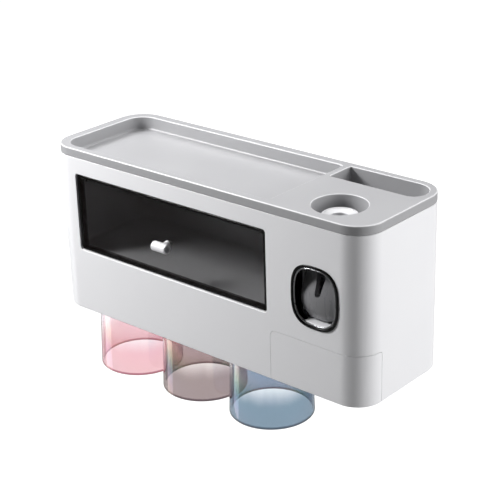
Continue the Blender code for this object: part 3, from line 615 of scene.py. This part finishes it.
def body_outline(insets):
    """The body seen from above, its corners a little rounder behind than in front."""
    return rounded((-HALF_WIDTH, HALF_WIDTH, FRONT, BACK), CORNERS, insets)


print("points round the body:", body_outline(0).shape[1])

# %% Walls, deck, floor and bosses
FOOT_EDGE, TOP_EDGE, SQUARE = 1.2, 0.4, 0.5
DECK, BAY_FLOOR, BAY_WALL = (-61, -58), (-94.6, -92), (79.4, 81)
JAMB_X, JAMB_Z = (-151, 82), (-36.5, 45)
HINGE_BOSSES, HINGE_BOSS_Z = ((-157, -146), (77, 88)), (33, 44.5)


def make_body_shell():
    """The wall's section goes round the outline, and plates and blocks are joined inside it."""
    foot = arc((FOOT_EDGE, BOTTOM + FOOT_EDGE), FOOT_EDGE, 270, 180)
    lip = arc((TOP_EDGE, SHELL_TOP - TOP_EDGE), TOP_EDGE, 180, 90, 4)
    section = np.vstack([[(WALL, BOTTOM)], foot, lip, [(WALL, SHELL_TOP)]])
    shell = moulding("body_shell", body_outline, section, ring=True)
    into = WALL / 2
    left, right, front, back = -HALF_WIDTH + into, HALF_WIDTH - into, FRONT + into, BACK - into
    near, far = CORNERS[0] - into, CORNERS[2] - into
    seam = BAY_WALL[1] - SQUARE
    join(shell,
         slab("deck", (left, seam, front, back), (near, SQUARE, SQUARE, far), DECK),
         slab("bay_floor", (seam, right, front, back), (SQUARE, near, far, SQUARE), BAY_FLOOR),
         block("bay_wall", BAY_WALL, (front, -6.3), (BAY_FLOOR[0], 50)),
         block("bay_wall_foot", BAY_WALL, (-11, back), (BAY_FLOOR[0], DECK[1] - SQUARE)),
         block("catch_wall", (seam, right), (-93.5, -91.5), (-93.6, -68)),
         block("door_jamb", JAMB_X, (front, -112), JAMB_Z))
    for k, ends in enumerate(HINGE_BOSSES):
        join(shell, block(f"hinge_boss_{k}", ends, (front, -112.4), HINGE_BOSS_Z))
    return shell


# %% The cover's corner
COVER_LEFT, COVER_TOP, COVER_BACK, COVER_RADII = 82, -47.7, -94.5, (6, 3)
SNAP_X = (100, 154)


def cover_space(name, gap):
    """The lower right front corner, which belongs to the pull-off cover, less a gap."""
    left, top, back = COVER_LEFT + gap, COVER_TOP - gap, COVER_BACK - gap
    front_radius, side_radius = COVER_RADII[0] - gap, COVER_RADII[1] - gap
    space = slab(name, (left, HALF_WIDTH + 20, BOTTOM - 20, top), (1, 1, 1, front_radius),
                 (FRONT - 10, back + 10), "Y")
    side = slab(f"{name}_side", (FRONT - 20, back, BOTTOM - 20, top), (1, 1, side_radius, 1),
                (left - 10, HALF_WIDTH + 10), "X")
    return settle(common(space, side))


# %% Openings, bosses and holes
(DOOR_LEFT, DOOR_FACE, DOOR_BOTTOM), (DOOR_RIGHT, DOOR_BACK, DOOR_TOP) = box_of("door")
DOOR = (DOOR_LEFT, DOOR_RIGHT, DOOR_BOTTOM, DOOR_TOP)
DOOR_PLAY = (-0.6, 0.6, -0.6, 0.8)
PIN_BORE, MAGNET_RADIUS = 1.1, 11


def screws_of(kind, count):
    """The x and z of each screw of a kind, from its solid."""
    return [middle_of(f"{kind}_{number}")[::2] for number in range(1, count + 1)]


def cut_body_shell(shell):
    """Bosses for the pump's screws are joined, and then the openings and holes are cut."""
    for k, (x, z) in enumerate(screws_of("pump_screw", 4)):
        join(shell, rod(f"boss_{k}", 3.4, (FRONT + WALL / 2, -104.3), (x, 0, z), "Y"))
        cut(shell, rod(f"boss_hole_{k}", 1.3, (-116.5, -100), (x, 0, z), "Y"))
    door = np.add(DOOR, DOOR_PLAY)
    pins = (0, HINGE_Y, HINGE_Z)
    cut(shell,
        slab("door_opening", door, 3, flare(FRONT, 0.8, -105, -1), "Y"),
        moulding("window_opening", oval, [(0.9, FRONT - 10), (0.9, -110)], "Y"),
        rod("hinge_hole_left", PIN_BORE, (-156, -140), pins, "X"),
        rod("hinge_hole_right", PIN_BORE, (71, 87), pins, "X"),
        cover_space("cover_corner", 0),
        block("back_opening", (-140, 140), (-10, 10), (-50, 42)))
    for k, x in enumerate(CUP_X):
        cut(shell, rod(f"magnet_pocket_{k}", MAGNET_RADIUS + GAP, (-59.8, -53), (x, CUP_Y, 0)))
    for k, x in enumerate(SNAP_X):
        cut(shell, block(f"snap_window_{k}", (x - 4.6, x + 4.6), (-100, -85), (-75.6, -71)))
    for k, (x, z) in enumerate(screws_of("back_screw", 5)):
        cut(shell,
            rod(f"back_hole_{k}", 1.5, (-8, 5), (x, 0, z), "Y"),
            rod(f"back_counterbore_{k}", 3.1, (-2.2, 5), (x, 0, z), "Y"))
    return shell


fit(cut_body_shell(make_body_shell()), white_abs, "unit", "white_abs", "housing")

# %% [markdown]
# ## The corner cover
# The lower right corner pulls off, so that the pump's foot can be reached. On the real part it is
# cut from the same outline as the body, so here too it is the body's outer surface, made hollow,
# and cut to its corner less a gap of 0.35 mm. The gap is the thin line in the photograph. Two
# arms with bumps snap into windows behind it.

# %% Corner cover
COVER_GAP, COVER_WALL, SNAP_HALF = 0.35, 2.4, 4


def make_corner_cover():
    """The body's outer surface, hollowed and cut to its corner, with two arms that snap in."""
    foot = arc((FOOT_EDGE, BOTTOM + FOOT_EDGE), FOOT_EDGE, 270, 180)
    cover = moulding("corner_cover", body_outline, np.vstack([foot, [(0, -30)]]))
    inside = [(COVER_WALL, BOTTOM + COVER_WALL), (COVER_WALL, 0)]
    cut(cover, moulding("cover_inside", body_outline, inside))
    common(cover, cover_space("cover_shape", COVER_GAP))
    for k, x in enumerate(SNAP_X):
        across = (x - SNAP_HALF, x + SNAP_HALF)
        join(cover,
             block(f"snap_arm_{k}", across, (FRONT + COVER_WALL / 2, -86), (-75, -72.5)),
             block(f"snap_bump_{k}", across, (-90.5, -88), (-73, -71.6)))
    return cover


fit(make_corner_cover(), white_abs, "cover", "white_abs", "access_cover")

# %% [markdown]
# ## The tray
# The tray is a grey lid with three hollows: a long shallow recess, a round well for the paste
# tube and a deep slot. Its upper edges are rounded by about a millimetre, which draws the bright
# line all round the rim, and the recess has a soft fillet where its floor meets its walls. The
# edges are also marked, and the paint is paler there: a painted highlight along the rim.

# %% Tray
TRAY_BOTTOM, TRAY_SKIN, SKIRT_BOTTOM = SHELL_TOP + GAP, 2.6, 50.6
RECESS, RECESS_RADII, RECESS_FLOOR = (-170, 77, -112, -10), (16, 4, 4, 18), 53
SLOT, SLOT_RADII, SLOT_FLOOR, SLOT_WALL = (83, 173, -38, -8), (2, 12, 18, 2), -2, 1.7
HOLLOW, HOLLOW_RADII = (79.4, 174.4, -114.4, -6.4), (1, 18, 20, 1)
WELL_RADIUS, WELL_WALL, LEDGE, LEDGE_HOLE = 23.5, 2.1, (46, 48), 10.3


def make_tray():
    """A lid with a skirt: hollowed from below, walled round its well and slot, cut from above."""
    edge, base = 1.2, 0.3
    side = np.vstack([arc((base, TRAY_BOTTOM + base), base, 270, 180, 3),
                      arc((edge, TRAY_TOP - edge), edge, 180, 90)])
    tray = moulding("top_tray", body_outline, side)
    skirt, under, well = WALL + 0.4, TRAY_TOP - TRAY_SKIN, (PUMP_X, TUBE_Y, 0)
    join(tray, moulding("skirt", body_outline, [(skirt, SKIRT_BOTTOM), (skirt, TRAY_BOTTOM + 0.7)]))
    cut(tray,
        slab("recess", RECESS, RECESS_RADII, flare(TRAY_TOP, 1.0, RECESS_FLOOR, fillet=2.5)),
        slab("hollow", HOLLOW, HOLLOW_RADII, (45, under)))
    join(tray,
         rod("well_wall", WELL_RADIUS + WELL_WALL, (LEDGE[0], under + 1), well, steps=96),
         slab("slot_wall", SLOT, SLOT_RADII,
              [(-SLOT_WALL, SLOT_FLOOR - 2), (-SLOT_WALL, under + 1)]))
    well_side = flare(TRAY_TOP, 0.9, LEDGE[1], fillet=0.8) * [-1, 1] + [WELL_RADIUS, 0]
    return cut(tray,
               turned("well_hole", well_side, well),
               rod("well_ledge", LEDGE_HOLE, (LEDGE[0] - 6, LEDGE[1] + 2), well, steps=64),
               slab("slot_pocket", SLOT, SLOT_RADII,
                    flare(TRAY_TOP, 1.0, SLOT_FLOOR, fillet=1.2)))


def painted_highlight_edge(points, normals):
    """1 where an upper edge faces halfway up, falling to 0 where it runs into the flats."""
    tilt = np.clip(2 * normals[:, 2] * np.sqrt(np.clip(1 - normals[:, 2] ** 2, 0, 1)), 0, 1)
    return np.clip((tilt - 0.25) / 0.6, 0, 1) * (points[:, 2] > TRAY_TOP - 2)


top_tray = fit(make_tray(), tray_abs, "unit", "grey_abs", "tray")
# Its marked upper edges take the paler rim colour, a painted highlight.
mark(top_tray, "rim", painted_highlight_edge)

# %% [markdown]
# ## The storage box
# Behind the door sits a thin white box, open in front and on top, on four ribs. It is seen
# through the smoked door, so its inner corners and the round meeting of floor and back matter
# more than its outside.

# %% Storage box
RIB_X, RIB_HALF = (-165, -95.5, -10.8, 69), 1.25


def make_storage_box():
    """A rounded box on ribs, hollowed by a cutter whose lower edge leaves the fillet."""
    (left, front, foot), (right, back, top) = box_of("storage_tub")
    wall, under, floor, fillet = 2.2, -40, -37.6, 3.0
    box = slab("storage_box", (left, right, front, back), (8, SQUARE, SQUARE, 12), (under, top))
    for k, x in enumerate(RIB_X):
        join(box, block(f"rib_{k}", (x - RIB_HALF, x + RIB_HALF), (-100, -25), (foot, under + 1)))
    above = top + 12
    inside = np.vstack([flare(above, 0.2, floor, fillet=fillet)[:FLARE_ROWS], [(0, above)]])
    hollow = (left + wall, right - wall, front - 20, back - wall)
    return cut(box, slab("inside", hollow, (4, 4, 5, 12 - wall), inside))


fit(make_storage_box(), white_abs, "unit", "white_abs", "storage_tub")

# %% [markdown]
# ## The flip door and its roller
# The door is a pane with a rim on three sides and two ears that take the hinge pins. Its front
# edges are softened by 0.7 mm, as polished acrylic is. The rim is marked for the paint, because a
# thick wall lets less light through. A mark lives on vertices, so the front face has two extra
# rows of them, just inside and outside the rim. The roller in the door's middle is turned about
# the X axis, with hollow ends, and stands on a short neck.

# %% Door
DOOR_RIM, DOOR_EDGE, PANE_BACK = 2.5, 0.7, -115.8
EAR_WIDTH, EAR_BOTTOM, EAR_BACK = 8.4, 34.5, -114.3
KNOB_RADIUS = 4.5
KNOB = (middle_of("knob")[0], box_of("knob")[0][1] + KNOB_RADIUS, middle_of("knob")[2])


def make_door():
    """A softened sheet, hollowed behind to leave its rim and ears, with holes for its pins."""
    side = np.vstack([[(DOOR_RIM, DOOR_FACE), (DOOR_RIM - 0.2, DOOR_FACE)],
                      arc((DOOR_EDGE, DOOR_FACE + DOOR_EDGE), DOOR_EDGE, 270, 180),
                      [(0, DOOR_BACK)]])
    door = slab("flip_door", DOOR, 3, side, "Y")
    pins, behind, above = (0, HINGE_Y, HINGE_Z), -100, DOOR_TOP + 10
    return cut(door,
               block("pane_back", (DOOR_LEFT + DOOR_RIM, DOOR_RIGHT - DOOR_RIM),
                     (PANE_BACK, behind), (DOOR_BOTTOM + DOOR_RIM, EAR_BOTTOM)),
               block("pane_top", (DOOR_LEFT + EAR_WIDTH, DOOR_RIGHT - EAR_WIDTH),
                     (PANE_BACK, behind), (EAR_BOTTOM - 3, above)),
               block("ear_back", (DOOR_LEFT - 10, DOOR_RIGHT + 10), (EAR_BACK, behind),
                     (EAR_BOTTOM, above)),
               rod("ear_hole_left", PIN_BORE, (DOOR_LEFT - 5, DOOR_LEFT + 8), pins, "X"),
               rod("ear_hole_right", PIN_BORE, (DOOR_RIGHT - 8, DOOR_RIGHT + 5), pins, "X"),
               rod("roller_hole", 1.6, (-130, behind), (KNOB[0], 0, KNOB[2]), "Y"))


def thick_rim(points, normals):
    """1 within 2.4 mm of the door's outline, where the rim stands behind the pane, else 0."""
    x, z = points[:, 0], points[:, 2]
    inside = np.minimum.reduce([x - DOOR_LEFT, DOOR_RIGHT - x, z - DOOR_BOTTOM, DOOR_TOP - z])
    return (inside < DOOR_RIM - 0.1).astype(float)


flip_door = fit(make_door(), smoked_acrylic, "flip_door", "smoked_acrylic", "door")
mark(flip_door, "rim", thick_rim)

# %% Roller
def make_roller():
    """The half profile from the hollow's floor to the rim, and its mirror image, turned about X."""
    end, edge, hollow, deep = 8.4, 1.1, 2.6, 6
    half = np.vstack([[(0, end - deep), (hollow - 0.4, end - deep)],
                      arc((hollow + 0.5, end - 0.5), 0.5, 180, 90, 4),
                      arc((KNOB_RADIUS - edge, end - edge), edge, 90, 0)])
    roller = turned("roller", np.vstack([half, half[::-1] * [1, -1]]), KNOB, "X", 64)
    neck = [(3, -126), (3, -121.5), (3.6, -119.6), (3.6, -119.1)]
    stem = (KNOB[0], 0, KNOB[2])
    join(roller, turned("neck", neck, stem, "Y", 48))
    return cut(roller, rod("screw_pilot", 1.3, (-126.4, -110), stem, "Y"))


roller = fit(make_roller(), white_abs, "flip_door", "white_abs", "knob")

# %% [markdown]
# ## The oval window
# A black ring frames the window, a thin chromed ring lines it, and a white shelf in its foot
# catches a drop of paste. All three follow one superellipse, which is squarer than an ellipse.
# The rings are small sections carried round that curve, and the shelf is the curve's lowest part.

# %% Window rings and shelf
def make_window_ring():
    """A flat foot in the opening, and a crest of two quarter circles in front of the body."""
    crest, root, edge, inner, outer = -120.3, -113.2, 0.7, 2.3, 1.3
    section = np.vstack([[(outer, root), (outer, crest), (0.15, crest)],
                         arc((edge, crest), edge, 180, 270),
                         arc((inner - edge, crest), edge, 270, 360), [(inner, root)]])
    return moulding("window_ring", oval, section, "Y", ring=True)


def make_trim():
    """Half an ellipse, 1.2 mm wide and 0.5 mm high, on a flat foot."""
    middle, crest, foot = 3.2, -120.0, -119.4
    round_top = arc((0, 0), 1, 180, 360, 10) * [0.6, 0.5] + [middle, crest]
    section = np.vstack([round_top, [(middle + 0.6, foot), (middle - 0.6, foot)]])
    return moulding("chrome_trim", oval, section, "Y", ring=True)


def make_lip():
    """What a block seen from the side shares with the window's curve, less 2.6 mm."""
    (left, front, _), (right, back, top) = box_of("drip_lip")
    lip = moulding("paste_lip", oval, [(2.6, FRONT - 2), (2.6, -99)], "Y")
    side = (front, back, -45, top)
    return common(lip, slab("lip_part", side, (0.5, 0.5, 0.4, 0.7), (left, right), "X"))


fit(make_window_ring(), black_abs, "unit", "black_gloss", "window_bezel")
fit(make_trim(), chrome, "unit", "chrome_trim", "bezel_trim")
fit(make_lip(), white_abs, "unit", "white_abs", "drip_lip")

# %% [markdown]
# ## The push lever
# A brush pushes this grey plate back, and the paste comes out through its slot. The plate leans
# back towards its top and bows forward in the middle, so its front is a grid of two parameters:
# the share of the width, and the height. The bow makes its tone change from side to side, as in
# the photograph, where a flat plate would show one tone.

# %% Push lever's plate
LEVER_HALF, LEVER_TALL, LEVER_TOP, LEVER_EDGE = 18.5, 22.2, 24, 0.9
LEVER_BACK = 3.8


def lever_face(z):
    """Depth of the plate: -108.6 above, drawn forward by a sine squared, and back at the foot."""
    share = np.clip((15 - z) / 26, 0, 1)
    under = np.clip((-9 - z) / 18.2, 0, 1)
    return -108.6 - 7.2 * np.sin(share * np.pi / 2) ** 2 + 4.2 * under ** 2


def make_plate():
    """Front y = face(z) - 2 + 3 (s w / a)^2, where s is the share and w the superellipse's width.

    The front runs into a quarter circle on both sides, and its foot is rounded in the same way.
    """
    low = WINDOW_Z - LEVER_TALL + 0.2
    z = (low + (LEVER_TOP - low) * np.linspace(0, 1, 48) ** 1.6)[:, None]
    drop = np.clip((WINDOW_Z - z) / LEVER_TALL, 0, 1)
    wide = LEVER_HALF * (1 - drop ** OVAL_POWER) ** (1 / OVAL_POWER)
    bend = np.minimum(LEVER_EDGE, wide / 2)
    x = np.linspace(-1, 1, 33)[None] * (wide - bend)
    up = np.clip((z - low) / LEVER_EDGE, 0, 1)
    foot = LEVER_EDGE * (1 - np.sqrt(1 - (1 - up) ** 2))
    y = lever_face(z) - 2 + 3 * (x / LEVER_HALF) ** 2 + foot
    a = np.radians(np.linspace(-90, 0, 8))[None, 1:]
    side_x, side_y = wide - bend + bend * np.cos(a), y[:, -1:] + bend * (1 + np.sin(a))
    back = lever_face(z) + LEVER_BACK
    x = np.concatenate([x, side_x, wide, -wide, -side_x[:, ::-1]], 1) + PUMP_X
    y = np.concatenate([y, side_y, back, back, side_y[:, ::-1]], 1)
    return skin("push_plate", np.stack([x, y, np.broadcast_to(z, x.shape)], -1))


# %% Push lever's arms and slot
ARM, KNUCKLE_RADIUS, KNUCKLE_BORE = (5, 14), 3.9, 1.8
SLOT_Z, SLOT_ROUND, SLOT_WIDE = (-3.1, 14), 2.8, 4.8


def make_push_lever():
    """The plate with two arms and knuckles on its pin, and a tapered slot with a round end."""
    lever = make_plate()
    pin = (0, PIVOT_Y, PIVOT_Z)
    for side in (-1, 1):
        ends = sorted(PUMP_X + side * end for end in ARM)
        join(lever,
             block(f"arm_{side}", ends, (-108.6, -104.9), (20, PIVOT_Z)),
             rod(f"knuckle_{side}", KNUCKLE_RADIUS, ends, pin, "X", 48))
    slot = np.vstack([arc((PUMP_X, SLOT_Z[0]), SLOT_ROUND, 180, 360, 16),
                      [(PUMP_X + SLOT_WIDE, SLOT_Z[1]), (PUMP_X - SLOT_WIDE, SLOT_Z[1])]])
    rows = np.stack([np.insert(slot, 1, y, axis=1) for y in (-130, -90)])
    return cut(lever, skin("slot", rows), rod("bore", KNUCKLE_BORE, (100, 160), pin, "X"))


fit(make_push_lever(), lever_abs, "lever", "lever_grey", "push_lever")

# %% [markdown]
# ## The funnel
# The funnel in the tray's well takes the neck of an upturned paste tube. It is white ABS, drawn
# a little darker as painted shade. It is a turned part: a round-edged rim, a shallow dish and a
# throat. The well around it stays open.

# %% Funnel
def make_funnel():
    """Rim, dish and throat from above, then the spigot, the seat on the tray's ledge and back."""
    radius, throat, spigot, foot = 15.4, 7.5, 9.5, 30
    seat = LEDGE[1] + GAP
    profile = np.vstack([arc((radius - 0.6, 57.2), 0.6, 0, 90, 6),
                         arc((radius - 1.5, 57.2), 0.6, 90, 165, 6),
                         arc((throat + 0.8, 55.1), 0.8, 100, 180, 6),
                         [(throat, foot), (spigot, foot), (spigot, seat), (radius, seat)]])
    return turned("funnel", profile, (PUMP_X, TUBE_Y, 0), ring=True)


fit(make_funnel(), shaded_white_abs, "unit", "white_abs", "inlet_adapter")

# %% [markdown]
# ## The cups
# Three tapered tumblers hang mouth down, each on a magnet. A tumbler is one closed profile turned
# about its axis: the base with the seat for its steel disc, the outer wall, a rounded rim at the
# mouth and the inner wall. The last 2 mm at the mouth are marked for the paint, between two rows
# of vertices that keep the mark narrow.

# %% Cups
CUP_WALL, BASE_RADIUS, MOUTH_RADIUS, DISC_SEAT = 1.9, 35.8, 39.8, (15.3, 1.8)
(_, _, MOUTH), (_, _, CUP_BASE) = box_of("cup_1")


def make_cup(number):
    """The base's half, the outer wall down to the mouth, its round rim, and the inner wall up."""
    seat, deep = DISC_SEAT
    edge, low, rim = 2.2, MOUTH + 2.2, CUP_WALL / 2
    base = np.vstack([[(0, CUP_BASE - deep), (seat, CUP_BASE - deep), (seat, CUP_BASE)],
                      arc((BASE_RADIUS - edge, CUP_BASE - edge), edge, 90, 0)])
    outside = np.array([(MOUTH_RADIUS - 0.06, low + 0.1), (MOUTH_RADIUS - 0.05, low - 0.1)])
    round_rim = arc((MOUTH_RADIUS - rim, MOUTH + rim), rim, 0, -180, 10)
    inner = arc((BASE_RADIUS - CUP_WALL - 2.4, CUP_BASE - 7), 2.5, 0, 90)
    profile = np.vstack([base, outside, round_rim, outside[::-1] - [CUP_WALL, 0], inner,
                         [(0, CUP_BASE - 4.5)]])
    return turned(f"tumbler_{number}", profile, (CUP_X[number - 1], CUP_Y, 0), steps=128)


def mouth_rim(points, normals):
    """1 on the last 2.2 mm at the mouth, else 0."""
    return (points[:, 2] < MOUTH + 2.2).astype(float)


bodies = ("pink_cup", "taupe_cup", "blue_cup")
slots = ("pink_styrene", "taupe_styrene", "blue_styrene")
for n, (plastic, body, slot) in enumerate(zip(cup_plastic, bodies, slots), 1):
    tumbler = fit(make_cup(n), plastic, body, slot, f"cup_{n}")
    mark(tumbler, "rim", mouth_rim)

# %% [markdown]
# ## The squeeze tube and the spring
# Two hidden parts change shape when the lever is pushed. The tube is soft silicone and flattens
# against the frame, but here it is a plain turned surface. The torsion spring is bent wire wound
# about the lever's pin. One leg rests on the frame and the other follows the lever, and the coil
# between them shares out the turn. Here the wire is drawn in one shape.

# %% Squeeze tube
TUBE_RADIUS, TUBE_KEEP = 8, 0.79


def make_soft_tube():
    """A tube with edges cut back by 0.3 mm."""
    inner, low, high, edge = 5.6, 8, 29.7, 0.3
    outside = np.array([(TUBE_RADIUS - edge, low), (TUBE_RADIUS, low + edge),
                        (TUBE_RADIUS, high - edge), (TUBE_RADIUS - edge, high)])
    inside = [(inner + edge, high), (inner, high - edge), (inner, low + edge), (inner + edge, low)]
    return turned("soft_tube", np.vstack([outside, inside]), (PUMP_X, TUBE_Y, 0), steps=64, ring=True)


soft_tube = fit(make_soft_tube(), silicone, "unit", "silicone", "squeeze_tube")
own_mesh(soft_tube)

# %% Torsion spring
SPRING_HALF, SPRING_TURNS, COIL_RADIUS, WIRE_RADIUS = 3.8, 3.75, 2.9, 0.45


def make_spring_wire():
    """A helix (x0 + k t, y0 + r cos t, z0 + r sin t) with two legs, carried by a small circle."""
    t = np.linspace(0, 2 * np.pi * SPRING_TURNS, 121)
    coil = np.stack([np.linspace(-SPRING_HALF, SPRING_HALF, t.size),
                     PIVOT_Y + COIL_RADIUS * np.cos(t), PIVOT_Z + COIL_RADIUS * np.sin(t)], -1)
    on_lever = [(-104.2, 20.6), (-104.2, 26), (-104.2, 32), (-104.5, 35)]
    on_frame = [(-105, 35.1), (-102.5, 35.0), (-100.7, 34.2), (-99.4, 32.6), (-99.1, 31)]
    line = np.vstack([np.insert(np.array(on_lever), 0, -SPRING_HALF, axis=1), coil,
                      np.insert(np.array(on_frame), 0, SPRING_HALF, axis=1)]) + [PUMP_X, 0, 0]
    along = np.gradient(line, axis=0)
    across = np.cross(along, (1.0, 0.0, 0.0))
    across /= np.linalg.norm(across, axis=1, keepdims=True)
    other = np.cross(along, across)
    other /= np.linalg.norm(other, axis=1, keepdims=True)
    a = np.linspace(0, 2 * np.pi, 12, endpoint=False)[:, None]
    circle = np.cos(a) * across[:, None] + np.sin(a) * other[:, None]
    return skin("spring_wire", line[:, None] + WIRE_RADIUS * circle)


spring_wire = fit(make_spring_wire(), zinc, None, "zinc_steel", "lever_spring")
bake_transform(spring_wire)

# %% [markdown]
# ## The solids that stay
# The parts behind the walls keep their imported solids. Each still gets the material it is made of,
# because the open door, the lifted cover and the back show them.

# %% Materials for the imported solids
kept = {"back_panel": white_abs, "wall_plate": white_abs, "adhesive_pad": foam,
        "pump_frame": white_abs, "plunger": white_abs, "inlet_seal": silicone,
        "outlet_valve": silicone, "outlet_nozzle": dark_pom}
for name, node in frame["nodes"].items():
    metal = name.startswith(("back_screw", "pump_screw", "hinge_pin", "knob_screw", "lever_pin",
                             "magnet", "cup_disc"))
    finish = kept.get(name, zinc if metal else None)
    if finish:
        for slot in node.material_slots:
            slot.material = finish
print("kept solids:", sorted(kept))

# %% [markdown]
# ## Floor, backdrop and light
# The photograph is a studio picture on white. A large pale floor lies well below the object, so
# that its shadow stays soft. A key lamp and a weaker one stand at the front left, a big lamp at
# the right side, and the biggest hangs above and behind. The rounded front corner turns away from
# all of them, which gives the grey band that runs down it. A wall seen from above mirrors what
# lies below it, so a low strip at the left draws the bright streak on each cup.

# %% Floor
def make_floor():
    """One square face below the object."""
    half, depth = 2600, -420
    square = [(-half, -half, depth), (half, -half, depth), (half, half, depth), (-half, half, depth)]
    mesh = bpy.data.meshes.new("floor")
    mesh.from_pydata((np.array(square) * MM).tolist(), [], [(0, 1, 2, 3)])
    floor = bpy.data.objects.new("floor", mesh)
    bpy.context.scene.collection.objects.link(floor)
    return floor


def seen(tree):
    """1 for rays that come straight from the camera or through glass, else 0."""
    path = add(tree, "LightPath", {}).outputs
    return add(tree, "Math", {0: path["Is Camera Ray"], 1: path["Is Transmission Ray"]},
               operation="MAXIMUM")


def pale_floor():
    """Matt pale paint, lifted for the camera and for glass so that the background is white.

    The lift is a little weaker near the object, so that the floor keeps the object's shadow.
    """
    made, tree, shader, place = new_material("pale_matt_floor", Roughness=0.9,
                                             Specular_IOR_Level=0.1)
    away = add(tree, "VectorMath", {0: place}, operation="LENGTH").outputs["Value"]
    rise = add(tree, "MapRange", {"Value": away, "From Min": 0.7, "From Max": 1.3,
                                  "To Min": 0.8, "To Max": 1.0})
    glow = add(tree, "Math", {0: seen(tree), 1: rise}, operation="MULTIPLY")
    feed(tree, shader, {"Base Color": linear("#8C8C8C"), "Emission Color": (1, 1, 1, 1),
                        "Emission Strength": glow})
    return made


floor = make_floor()
floor.data.materials.append(pale_floor())
print("floor:", floor.name, floor.data.materials[0].name)


# %% Lamps
def softbox(name, sides, power, turn, height, distance, target=(0, -60, -20)):
    """A soft rectangular lamp that faces a target in mm from a compass turn and a height.

    Its sides and its distance are in metres, its power in watts, and both angles in degrees.
    """
    lamp = bpy.data.objects.new(name, bpy.data.lights.new(name, "AREA"))
    lamp.data.shape, (lamp.data.size, lamp.data.size_y) = "RECTANGLE", sides
    lamp.data.energy = power
    way = way_to(math.radians(turn), math.radians(height))
    lamp.location = (way * distance + np.array(target) * MM).tolist()
    lamp.rotation_euler = Vector(way).to_track_quat("Z", "Y").to_euler()
    bpy.context.scene.collection.objects.link(lamp)
    return lamp


softbox("key_softbox", (0.25, 0.25), 10.0, -48, 36, 0.95)
softbox("left_softbox", (0.5, 0.5), 5.0, -65, 25, 1.3)
softbox("right_softbox", (1.2, 1.2), 33.2, 112, 14, 1.8)
softbox("top_softbox", (1.8, 1.8), 40.0, 205, 66, 1.8)
strip = softbox("left_strip", (0.2, 0.6), 0.42, -65, -23, 0.52, (CUP_X[1], CUP_Y, -130))
strip.visible_diffuse = False

# %% World and view
AMBIENT = 0.027
world = bpy.data.worlds.new("white_studio")
world.use_nodes = True
tree = world.node_tree
level = add(tree, "MapRange", {"Value": seen(tree), "To Min": AMBIENT, "To Max": 1.0})
feed(tree, tree.nodes["Background"], {"Color": (1, 1, 1, 1), "Strength": level})
bpy.context.scene.world = world
bpy.context.scene.view_settings.view_transform = "Standard"
print("world:", world.name, "ambient:", AMBIENT)
